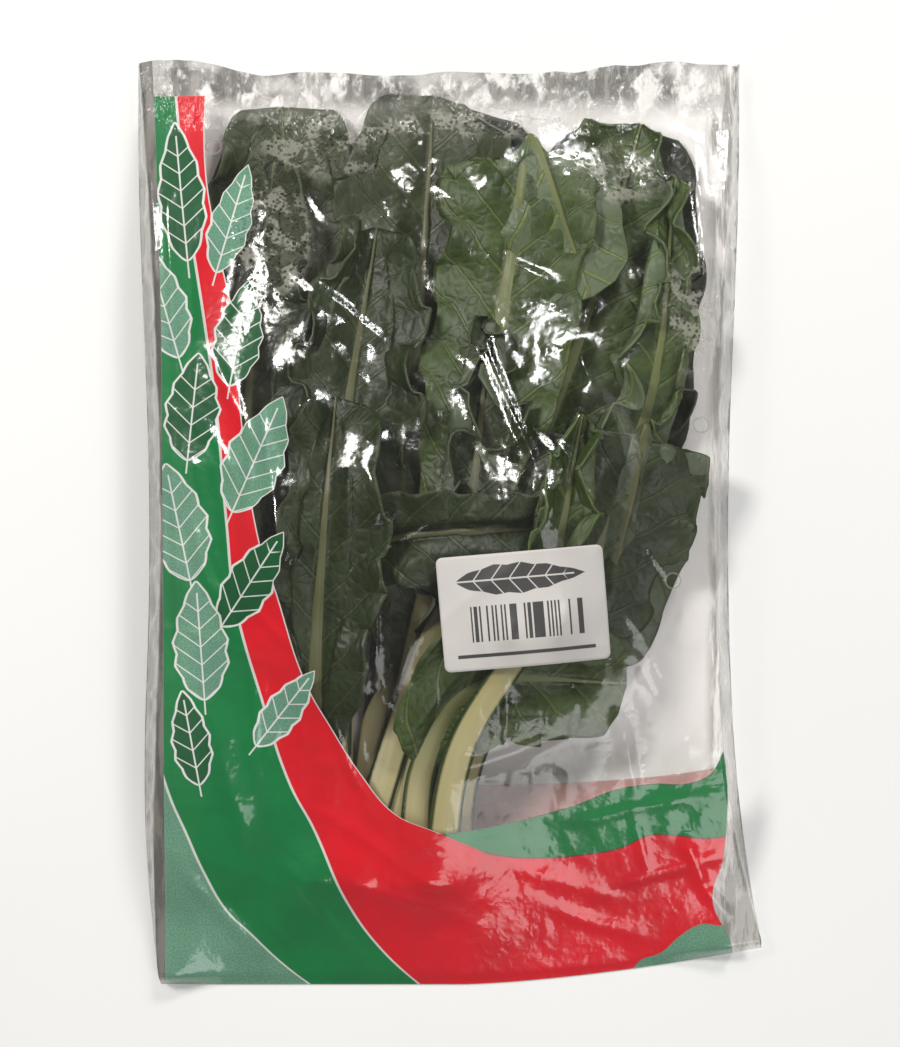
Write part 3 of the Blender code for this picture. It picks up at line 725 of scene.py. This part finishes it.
def ridged(u, v, pitch, seed):
    """Sharp branching ridges between smooth hollows, from 0 to 1, as crumpled film has."""
    broad = 1 - np.abs(2 * swell(u, v, pitch, seed) - 1)
    fine = 1 - np.abs(2 * swell(u, v, pitch * 0.45, seed + 1) - 1)
    return 0.7 * broad**2.5 + 0.3 * fine**2.5


def small_creases():
    """Fine straight wrinkles, most of them down the bag, which film takes when it is handled."""
    draw = np.random.default_rng(77)
    out = []
    for _ in range(SMALL_CREASES):
        x, y, turn = draw.uniform(-90, 90), draw.uniform(-158, 150), draw.normal(0, 38)
        run = draw.uniform(10, 42)
        dx, dy = run * sin(radians(turn)), run * cos(radians(turn))
        tall = draw.uniform(0.25, 0.8) * (0.4 if y < -95 else 1)
        out.append((x, y, x + dx, y + dy, draw.uniform(1.6, 3.4), tall))
    return tuple(out)


def creased(x, y):
    """How far the named creases stand out of the film."""
    out = np.zeros(x.shape)
    bent_x = x + 3 * MM * (swell(x, y, 17 * MM, 900) - 0.5)
    bent_y = y + 3 * MM * (swell(x, y, 17 * MM, 901) - 0.5)
    for x0, y0, x1, y1, width, tall in np.array(CREASES + small_creases()) * MM:
        run = np.hypot(x1 - x0, y1 - y0)
        ahead = ((bent_x - x0) * (x1 - x0) + (bent_y - y0) * (y1 - y0)) / run
        off = np.abs((bent_x - x0) * (y1 - y0) - (bent_y - y0) * (x1 - x0)) / run
        taper = np.clip(np.minimum(ahead + 0.15 * run, 1.15 * run - ahead) / (0.35 * run), 0, 1)
        out = np.maximum(out, tall * taper * np.clip(1 - off / width, 0, 1) ** 1.3)
    return out


def mouth_dip(x, seed):
    """How far the mouth's edge sags in from the bag's full length."""
    middle = np.clip((x + 90 * MM) / (14 * MM), 0, 1) * np.clip((58 * MM - x) / (14 * MM), 0, 1)
    return 3.5 * MM * middle + 2.5 * MM * swell(x, x * 0, 13 * MM, seed)


def slacken(z):
    """Moves each inner point of a sheet to the mean height of its four neighbours."""
    z[1:-1, 1:-1] = (z[:-2, 1:-1] + z[2:, 1:-1] + z[1:-1, :-2] + z[1:-1, 2:]) / 4


y_rows = np.linspace(-BAG_LENGTH / 2, BAG_LENGTH / 2, BAG_ROWS)[:, None]
share = np.linspace(-1, 1, FRONT_ACROSS)[None, :]
edge = np.where(y_rows < -BAG_LENGTH / 2 + SEAL, WELD_EDGE, side_height(y_rows) - 0.4 * MM)
slope = SIDE_SLOPE * np.clip(edge / SIDE_HEIGHT, 0, 1)
front_x, front_y = on_plan(share * (1 - slope / half_width(y_rows)), y_rows)
plan = np.stack([front_x, front_y], -1)
to_mouth = BAG_LENGTH / 2 - y_rows
to_foot = BAG_LENGTH / 2 + y_rows
leaves_top = np.maximum(full.read(plan, full.blanket(3.0, 1)) + 0.6 * MM, 0.9 * MM)
film_top = np.maximum(full.read(plan, full.blanket(0.75, 8)), edge + 0 * share)
mouth_lift = 4 * MM * np.clip(1 - to_mouth / (28 * MM), 0, 1) * (1 - share**4)
for _ in range(LIMP):
    slacken(film_top)
    film_top[-1] = film_top[-2]
    film_top = np.maximum(film_top, np.maximum(leaves_top, edge + mouth_lift * 0.5))
    film_top[:, :1], film_top[:, -1:], film_top[:1] = edge, edge, WELD_EDGE
for _ in range(LAST_ROUNDS):
    slacken(film_top)
film_top = np.maximum(film_top, leaves_top - 0.3 * MM)
gap = film_top - leaves_top
in_field = np.clip((1 - np.abs(share)) / 0.06, 0, 1) * np.clip(to_foot / (9 * MM) - 0.8, 0, 1)
slack = 0.35 + np.clip(gap / (8 * MM), 0, 1)
broad_folds = 0.9 * MM * ridged(front_x * 1.3, front_y, 34 * MM, 910) * slack
folds = broad_folds * np.clip(to_foot / (70 * MM), 0.35, 1) + 0.12 * MM * ridged(front_x, front_y, 9 * MM, 920)
at_mouth = np.clip(1 - to_mouth / MOUTH_DEPTH, 0, 1)
gathers = 5.5 * MM * at_mouth**1.5 * ridged(front_x, front_y * 0.35, 15 * MM, 930)
off_edge = np.clip((1 - np.abs(share)) / 0.03, 0, 1)
film_top = film_top + (folds + creased(front_x, front_y)) * in_field + gathers * off_edge
film_top += 0.5 * MM * at_mouth
welded = 1 - np.clip(to_foot / (3 * MM), 0, 1)
film_top += (0.35 * MM - film_top) * welded
front = np.stack([front_x, front_y, film_top], -1)
front[..., 1] -= at_mouth**3 * mouth_dip(front_x, 940)

back_share = np.linspace(1, -1, BACK_ACROSS)[None, :]
back_x, back_y = on_plan(back_share, y_rows)
off_back_edge = np.clip((1 - np.abs(back_share)) / 0.1, 0, 1)
back_z = 0.25 * MM + 0.3 * MM * swell(back_x, back_y, 30 * MM, 950) * off_back_edge * (1 - welded)
back = np.stack([back_x, back_y, back_z], -1)
back[..., 1] -= at_mouth**3 * mouth_dip(back_x, 941)


def gusset(top, bottom, way, seed):
    """The gusset between the front panel's edge and the back panel's, with its crease and its small puckers."""
    t = np.linspace(0, 1, SIDE_ACROSS)[None, 1:-1, None]
    wall = top[:, None] * (1 - t) + bottom[:, None] * t
    tall = (top[:, None, 2] - bottom[:, None, 2]) / SIDE_HEIGHT
    pucker = ridged(wall[..., 1], wall[..., 2] + 0.3, 13 * MM, seed) * 2.2 * MM
    pucker = pucker - 1.2 * MM * np.sin(pi * t[..., 0]) ** 4
    wall[..., 0] += way * pucker * np.sin(pi * t[..., 0]) * np.clip(tall, 0, 1)
    return wall


right_wall = gusset(front[:, -1], back[:, 0], 1, 960)
left_wall = gusset(front[:, 0], back[:, -1], -1, 970)[:, ::-1]
tube = np.concatenate([front, right_wall, back, left_wall], axis=1)
ring_count = tube.shape[1]
index = np.arange(BAG_ROWS * ring_count).reshape(BAG_ROWS, ring_count)
onward = np.roll(index, -1, axis=1)
quads = np.stack([index[:-1], onward[:-1], onward[1:], index[1:]], -1).reshape(-1, 4)
bag_mesh = quad_mesh("produce_bag", tube.reshape(-1, 3), quads)
add_layer(bag_mesh, "print", tube[..., :2].reshape(-1, 2)[quads.ravel()])
panel = np.repeat([0.0, 1.0, 2.0, 1.0], [FRONT_ACROSS, SIDE_ACROSS - 2, BACK_ACROSS, SIDE_ACROSS - 2])
carry(bag_mesh, "panel", np.tile(panel, BAG_ROWS))
air_under = np.zeros(tube.shape[:2])
air_under[:, :FRONT_ACROSS] = gap
carry(bag_mesh, "air_under", air_under)
damp = np.zeros(tube.shape[:2])
for px, py, wide, long in np.array(DAMP) * MM:
    spot = np.exp(-(((front_x - px) / wide) ** 2 + ((front_y - py) / long) ** 2) ** 2)
    damp[:, :FRONT_ACROSS] = np.maximum(damp[:, :FRONT_ACROSS], spot)
carry(bag_mesh, "damp", damp)
bag_mesh.shade_smooth()
bag = link_object("produce_bag", bag_mesh)

INKS = {
    "green": (0.001, 0.20, 0.05),
    "red": (0.76, 0.004, 0.016),
    "pale": (0.17, 0.35, 0.25),
    "white": (0.78, 0.79, 0.75),
    "deep": (0.004, 0.10, 0.028),
    "reverse": (0.72, 0.40, 0.38),
}
VENTS = ((-83.4, 133), (88, 34.5), (78, -20))  # the vent holes, in mm
VENT_RADIUS, VENT_RIM = 2.4, 2.6
FILM_BUMP = 1.2 * MM
FILM_IOR = 1.52
INK_COVER = 0.97
SHADOW_PASSES = 0.85  # the share of light that the haze lets through to the leaves
# Where the print's colours meet, in mm on the bag's plan: points down the left side, then along the foot.
GREEN_TO_RED = (
    (-97, 152), (-93, 116), (-86, 70), (-82, 42), (-78, 0), (-75, -28), (-66, -61), (-56, -92), (-48, -107),
    (-36, -134), (-26, -149), (-11, -164),
)
RED_TO_CLEAR = (
    (-86, 152), (-86, 126), (-81, 96), (-75, 68), (-73, 40), (-66, -7), (-61, -22), (-50, -56), (-41, -72),
    (-31, -88), (-19, -102), (-3, -109), (20, -122), (40, -164),
)
PALE_TO_GREEN = (
    (-103, -80), (-98.5, -96), (-93, -109), (-87, -123), (-79, -137), (-71, -145), (-61, -155), (-50, -164),
)
BAND_TOP = (
    (-111, -109), (-5, -109), (12, -107), (28, -103.5), (44, -99), (58, -93.5), (70, -91.5), (85, -91),
    (92, -87.5), (96, -80), (111, -60),
)
RED_TOP = (
    (-111, -109), (-5, -109), (6, -113.5), (16, -116.7), (31, -118), (46, -117), (60, -114.5), (70, -110),
    (80, -110), (92, -111), (111, -106),
)
CORNER_TOP = (
    (-111, -170), (60, -170), (67, -156), (75, -152.5), (82, -146), (89, -142), (96, -142.5), (111, -140),
)


class Inks(Sums):
    """Node forms for the print on a film."""

    def through(self, value, points, span=172.0):
        """A smooth line through points (place, height), which all lie between -span and span."""
        made = self.node("ShaderNodeFloatCurve")
        line = made.mapping.curves[0]
        spots = [(0.5 + p / (2 * span), 0.5 + q / (2 * span)) for p, q in sorted(points)]
        line.points[0].location, line.points[1].location = spots[0], spots[-1]
        for spot in spots[1:-1]:
            line.points.new(*spot)
        made.mapping.update()
        self.put(made.inputs["Value"], self("MULTIPLY_ADD", value, 0.5 / span, 0.5))
        return self("MULTIPLY_ADD", made.outputs[0], 2 * span, -span)

    def inside(self, distance):
        return self.band(distance, -0.12, 0.12)

    def rule(self, distance, half=0.35):
        """A line where the distance passes zero."""
        return self.band(self.size(distance), half, half + 0.25, 1.0, 0.0)

    def leaf_at(self, plan, spot, turn, length, width):
        """One printed leaf: where its stalk ends, its turn (radians), its length and its width."""
        sizes = {"Plan": plan, "Place": spot, "Turn": turn, "Length": length, "Width": width}
        return self.made_with("ShaderNodeGroup", {"node_tree": printed_leaf}, **sizes)


printed_leaf, given, result = group(
    "printed_leaf",
    [("Plan", "NodeSocketVector"), ("Place", "NodeSocketVector"), ("Turn", "NodeSocketFloat"),
     ("Length", "NodeSocketFloat"), ("Width", "NodeSocketFloat")],
    [("Fill", "NodeSocketFloat"), ("Line", "NodeSocketFloat")],
)
sums = Inks(printed_leaf)
moved = sums.node("ShaderNodeVectorMath", operation="SUBTRACT")
sums.put(moved.inputs[0], given.outputs["Plan"])
sums.put(moved.inputs[1], given.outputs["Place"])
turned = sums.made_with(
    "ShaderNodeVectorRotate", {"rotation_type": "Z_AXIS"}, Vector=moved.outputs[0], Angle=given.outputs["Turn"]
)
off_rib, up_rib, _ = sums.split(turned.outputs[0])
off = sums.size(off_rib)
share_up = sums("DIVIDE", up_rib, given.outputs["Length"])
lobes = sums("MULTIPLY_ADD", sums("PINGPONG", sums.times(share_up, 5.0), 0.5), 0.28, 0.86)
full_width = sums("POWER", sums("SINE", sums.times(sums("POWER", share_up, 0.8), pi)), 0.8)
half_leaf = sums.times(full_width, lobes, sums.times(given.outputs["Width"], 0.5))
in_length = sums.times(sums("GREATER_THAN", share_up, 0.0), sums("LESS_THAN", share_up, 1.0))
rim = sums.less(half_leaf, off)
fill = sums.times(sums.inside(rim), in_length)
outline = sums.times(sums.rule(rim, 0.3), in_length)
stem = sums.times(sums("GREATER_THAN", share_up, -0.12), sums("LESS_THAN", share_up, 0.9))
stem = sums.times(sums.rule(off, 0.15), stem)
branch_at = sums("PINGPONG", sums.times(sums.less(up_rib, sums.times(off, 0.8)), 0.16), 0.5)
below_tip = sums.times(fill, sums.band(share_up, 0.8, 0.86, 1.0, 0.0))
branches = sums.times(sums.band(branch_at, 0.02, 0.06, 1.0, 0.0), below_tip)
sums.put(result.inputs["Fill"], fill)
sums.put(result.inputs["Line"], sums.most(outline, stem, branches))

PRINTED_LEAVES = (  # place of the stalk's end, turn in degrees, length and width, in mm; True for a pale one
    (-92, 92, 6, 50, 17, False), (-82, 88, -16, 40, 15, True), (-95, 58, 16, 40, 17, True),
    (-77, 48, -10, 38, 18, False), (-92, 22, -6, 38, 20, False), (-76, 4, -24, 44, 22, True),
    (-91, -20, 12, 42, 22, True), (-80, -36, -34, 40, 17, False), (-86, -62, 4, 42, 20, True),
    (-88, -92, 10, 34, 14, False), (-68, -78, -38, 34, 13, True),
)
film_skin, tree = new_material("printed_film")
sums = Inks(tree)
place = sums.layer("print", 1 / MM)
x, y, _ = sums.split(place)
panel_at, air_at, damp_at = (sums.painted(name) for name in ("panel", "air_under", "damp"))
on_front = sums("LESS_THAN", panel_at, 0.5)
on_back = sums("GREATER_THAN", panel_at, 1.5)

to_green, to_red, to_pale = (
    sums.less(sums.through(y, [(q, p) for p, q in line]), x)
    for line in (GREEN_TO_RED, RED_TO_CLEAR, PALE_TO_GREEN)
)
to_band, to_field, to_corner = (sums.less(sums.through(x, line), y) for line in (BAND_TOP, RED_TOP, CORNER_TOP))
stipple = sums.band(sums.noise(place, 1.6, 1.0), 0.42, 0.58)
pale_ink = sums.blend(sums.times(stipple, 0.35), INKS["pale"], INKS["green"])
ink = sums.blend(sums.inside(sums.most(to_red, to_field)), INKS["green"], INKS["red"])
ink = sums.blend(sums.inside(to_green), ink, INKS["green"])
ink = sums.blend(sums.inside(sums.most(to_pale, to_corner)), ink, pale_ink)
rules = sums.most(sums.rule(to_green), sums.rule(to_pale))
rules = sums.most(rules, sums.times(sums.rule(to_red), sums("LESS_THAN", to_band, 0.0)))
ink = sums.blend(sums.times(rules, 0.85), ink, INKS["white"])
dark_rules = sums.most(sums.rule(to_field, 0.2), sums.rule(to_band, 0.2))
dark_rules = sums.times(dark_rules, sums("LESS_THAN", to_red, 0.0))
ink = sums.blend(sums.times(dark_rules, 0.6), ink, (0.05, 0.03, 0.02))
covered = sums.inside(sums.most(to_red, to_band))
for px, py, turn, length, width, pale in PRINTED_LEAVES:
    drawn = sums.leaf_at(place, (px, py, 0), -radians(turn), length, width)
    ink = sums.blend(drawn.outputs["Fill"], ink, pale_ink if pale else INKS["deep"])
    ink = sums.blend(drawn.outputs["Line"], ink, INKS["white"])
    covered = sums.most(covered, drawn.outputs["Fill"])
left_edge = sums.through(y, ((-164, -101), (-80, -100.5), (28, -101), (77, -101.5), (152, -104.8)))
right_edge = sums.through(y, ((-164, 101), (-150, 100), (-133, 92.9), (-118, 96.5), (-60, 96.5), (152, 98)))
within = sums.times(sums.inside(sums.less(x, left_edge)), sums.inside(sums.less(right_edge, x)))
within = sums.times(within, sums("LESS_THAN", y, 151.0))
front_ink = sums.times(covered, within, on_front)
to_back_print = sums.less(sums.through(x, ((-110, -94), (-3, -93.4), (54, -91.7), (86, -88.5), (110, -84))), y)
back_ink = sums.times(sums.inside(to_back_print), within, on_back)
inked = sums.most(front_ink, back_ink)
ink = sums.blend(back_ink, ink, INKS["reverse"])
rubbed = sums.noise(place, 0.05, 4.0)
ink = sums.blend(sums.band(rubbed, 0.3, 0.75, 0.0, 0.18), ink, (0.02, 0.02, 0.02))

clouds = sums.noise(place, 0.035, 4.0, 0.6)
smears = sums.noise(place, 0.11, 5.0, 0.7)
lifted = sums.band(air_at, 0.3 * MM, 6 * MM)
haze = sums.band(clouds, 0.4, 0.75, 0.0, 0.035)
haze = sums.plus(haze, sums.times(lifted, sums.band(smears, 0.4, 0.75, 0.0, 0.05)))
misted = sums.times(sums.band(damp_at, 0.25, 0.7), sums.band(smears, 0.50, 0.56))
haze = sums.plus(haze, sums.plus(sums.times(damp_at, 0.07), sums.times(misted, 0.42)))
haze = sums.times(haze, sums.less(1.0, sums.times(on_back, 0.8)))
drop_cells = sums.made_with("ShaderNodeTexVoronoi", {}, Vector=place, Scale=0.62)
wet = sums.band(damp_at, 0.2, 0.6)
drops = sums.times(sums.band(drop_cells.outputs["Distance"], 0.22, 0.42, 1.0, 0.0), wet)
haze = sums("SUBTRACT", haze, sums.times(drops, 0.45), clamp=True)
veil = sums.blend(damp_at, (0.3, 0.3, 0.24), (0.42, 0.41, 0.35))
veil = sums.blend(on_back, veil, (0.78, 0.70, 0.67))
haze = sums.plus(haze, sums.times(on_back, 0.3))
# Painted shade and dark reflections follow: a streaked dark grey veil on the film's side margins, its gussets
# and its left edge, and in patches among the mouth's crumples. Lamp light mostly passes it.
streaks = sums.noise(sums.stretched(place, (0.26, 0.035, 1)), 1.0, 4.0, 0.6)
margin = sums.times(sums.band(sums.size(sums.plus(x, 4.0)), 92.0, 98.0), sums.band(streaks, 0.38, 0.58))
crumples = sums.noise(sums.stretched(place, (0.085, 0.045, 1), -28), 1.0, 5.0, 0.65)
crumpled = sums.size(sums.less(crumples, 0.5))
# The mouth's patches of painted dark reflection, among its crumples.
mouth_dark_reflections = sums.times(sums.band(y, 141.0, 152.0), sums.band(crumpled, 0.03, 0.15, 0.97, 0.1))
mouth_dark_reflections = sums.times(mouth_dark_reflections, sums.band(clouds, 0.36, 0.52, 0.55, 1.0))
at_sides = sums.most(sums.less(1.0, sums.plus(on_front, on_back)), sums.band(sums.size(x), 99.0, 102.0))
left_margin = sums.times(sums.less(1.0, sums.inside(sums.less(x, left_edge))), on_front)
# Where the film gets the painted shade and dark reflections, and how strongly.
painted_dark_film = sums.most(mouth_dark_reflections, sums.times(margin, 0.85))
painted_dark_film = sums.most(painted_dark_film, sums.most(sums.times(at_sides, 0.6), sums.times(left_margin, 0.97)))
painted_dark_film = sums.times(painted_dark_film, sums.less(1.0, on_back))
# The colour of the painted shade and dark reflections, from near black to dark grey.
painted_dark_colour = sums.blend(sums.band(streaks, 0.42, 0.6), (0.03, 0.03, 0.022), (0.15, 0.14, 0.12))
veil = sums.blend(painted_dark_film, veil, painted_dark_colour)
haze = sums.most(haze, sums.times(painted_dark_film, 0.85))
cover = sums.plus(sums.times(haze, sums.less(1.0, inked)), sums.times(inked, INK_COVER))
holes = []
for px, py in VENTS:
    reach = sums.node("ShaderNodeVectorMath", operation="DISTANCE")
    sums.put(reach.inputs[0], place)
    reach.inputs[1].default_value = (px, py, 0)
    # A ring of veil round each vent: a painted highlight on the hole's rim.
    rim = sums.rule(sums.less(reach.outputs["Value"], VENT_RIM), 0.25)
    holes.append(sums("LESS_THAN", reach.outputs["Value"], VENT_RADIUS))
    cover = sums.most(cover, sums.times(rim, 0.5))
hole = sums.times(sums.most(*holes), on_front)
solid = sums.less(1.0, hole)
cover = sums.times(cover, solid)

crinkle = sums.noise(place, 0.07, 3.0, 0.55)
pucker = sums.noise(place, 0.24, 3.0, 0.6)
ridges = sums.size(sums.less(crinkle, 0.5))
small = sums.size(sums.less(pucker, 0.5))
height = sums.plus(sums.times(ridges, -0.6), sums.times(small, -0.05))
height = sums.plus(height, sums.times(drops, 0.35))
height = sums.plus(height, sums.times(crumpled, sums.band(y, 132.0, 150.0), -3.5))
bump = sums.bump(height, FILM_BUMP)
shadow = sums.node("ShaderNodeLightPath").outputs["Is Shadow Ray"]
passing = sums.times(sums.less(1.0, inked), shadow)
sheer = sums.made_with(
    "ShaderNodeBsdfPrincipled",
    {},
    Base_Color=sums.blend(inked, veil, ink),
    Alpha=sums.times(cover, sums.less(1.0, sums.times(passing, SHADOW_PASSES))),
    Roughness=sums.band(clouds, 0.3, 0.7, 0.3, 0.5),
    Normal=bump,
    Specular_IOR_Level=0.2,
)
shine = sums.band(smears, 0.3, 0.7, 0.07, 0.2)
gloss = sums.made_with("ShaderNodeBsdfGlossy", {}, Color=(1, 1, 1, 1), Roughness=shine, Normal=bump)
fresnel = sums.made_with("ShaderNodeFresnel", {}, IOR=FILM_IOR, Normal=bump)
both = sums.node("ShaderNodeMixShader")
sums.put(both.inputs[0], sums.times(fresnel.outputs[0], solid, sums.less(1.0, shadow)))
sums.put(both.inputs[1], sheer.outputs[0])
sums.put(both.inputs[2], gloss.outputs[0])
sums.surface(both)
bag_mesh.materials.append(film_skin)
bpy.context.scene.cycles.transparent_max_bounces = 32
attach(bag, "root")
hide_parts("film_bag")

# ------------------------------------------------------------------------------------------------------------
# The price label. It is a small self-adhesive paper label with rounded corners, stuck on the outside of the
# front panel, where it follows the film's dents. Its print is a leaf, bars that carry no code, and one rule.
# ------------------------------------------------------------------------------------------------------------
LABEL_SIZE = (58 * MM, 40 * MM)
LABEL_PLACE = (25.5 * MM, -29.5 * MM)
LABEL_TURN = radians(4.9)
LABEL_THICKNESS = 0.3 * MM
LABEL_CORNER = 2.2 * MM
LABEL_LIFT = 0.15 * MM  # how far it stands off the film
LABEL_ROUNDS = 10  # rounds in which it bridges the film's small dents


def film_height(x, y):
    """Height of the front panel, read from its own rows and columns."""
    rows = (y + BAG_LENGTH / 2) / BAG_LENGTH * (BAG_ROWS - 1)
    across = (x + BAG_LEAN) / (half_width(y) - SIDE_SLOPE)
    columns = (across + 1) / 2 * (FRONT_ACROSS - 1)
    i, j = rows.astype(int), columns.astype(int)
    return between(film_top, i, j, rows - i, columns - j)


v, u = np.meshgrid(np.linspace(-LABEL_SIZE[1] / 2, LABEL_SIZE[1] / 2, 45),
                   np.linspace(-LABEL_SIZE[0] / 2, LABEL_SIZE[0] / 2, 65), indexing="ij")
into_corner = [np.maximum(np.abs(k) - size / 2 + LABEL_CORNER, 0) for k, size in zip((u, v), LABEL_SIZE)]
drawn_in = np.maximum(*into_corner) / np.maximum(np.hypot(*into_corner), 1e-9)
drawn_in = np.where(np.minimum(*into_corner) > 0, drawn_in, 1)
u, v = (np.sign(k) * (np.abs(k) - past * (1 - drawn_in)) for k, past in zip((u, v), into_corner))
label_x = LABEL_PLACE[0] + u * cos(LABEL_TURN) - v * sin(LABEL_TURN)
label_y = LABEL_PLACE[1] + u * sin(LABEL_TURN) + v * cos(LABEL_TURN)
under_label = film_height(label_x, label_y)
label_z = under_label.copy()
for _ in range(LABEL_ROUNDS):
    slacken(label_z)
    label_z = np.maximum(label_z, under_label)
label_low = np.stack([label_x, label_y, label_z + LABEL_LIFT], -1)
label_top = label_low + (0, 0, LABEL_THICKNESS)
label = solid_between("paper_label", label_top, label_low, {"face": np.stack([u, v], -1)})

paper, tree = new_material("label_paper")
sums = Inks(tree)
place = sums.layer("face", 1 / MM)
x, y, _ = sums.split(place)
fibres = sums.noise(place, 2.5, 4.0, 0.6)
white = sums.blend(fibres, (0.60, 0.57, 0.54), (0.70, 0.67, 0.64))
bar_noise = sums.node("ShaderNodeTexWhiteNoise", noise_dimensions="1D")
sums.put(bar_noise.inputs["W"], sums("FLOOR", sums("DIVIDE", x, 0.62)))
bars = sums("GREATER_THAN", bar_noise.outputs["Value"], 0.48)
bars = sums.times(bars, sums.inside(sums.less(20.0, sums.size(sums.less(x, 1.5)))))
bars = sums.times(bars, sums.inside(sums.less(6.2, sums.size(sums.plus(y, 4.0)))))
picture = sums.leaf_at(place, (-23, 11, 0), radians(90), 46, 12)
printed = sums.most(bars, sums.less(picture.outputs["Fill"], picture.outputs["Line"]))
under_rule = sums.rule(sums.plus(y, 15.0), 0.5)
under_rule = sums.times(under_rule, sums.inside(sums.less(24.0, sums.size(x))))
printed = sums("MAXIMUM", printed, under_rule, clamp=True)
printed_white = sums.blend(sums.times(printed, 0.93), white, (0.02, 0.02, 0.022))
satin = sums.band(fibres, 0.3, 0.7, 0.42, 0.55)
bump = sums.bump(fibres, 0.1 * MM, 0.3)
looks = {"Base_Color": printed_white, "Roughness": satin, "Normal": bump}
sums.surface(sums.made_with("ShaderNodeBsdfPrincipled", {}, **looks))
label.data.materials.append(paper)
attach(label, "root")
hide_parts("price_label")
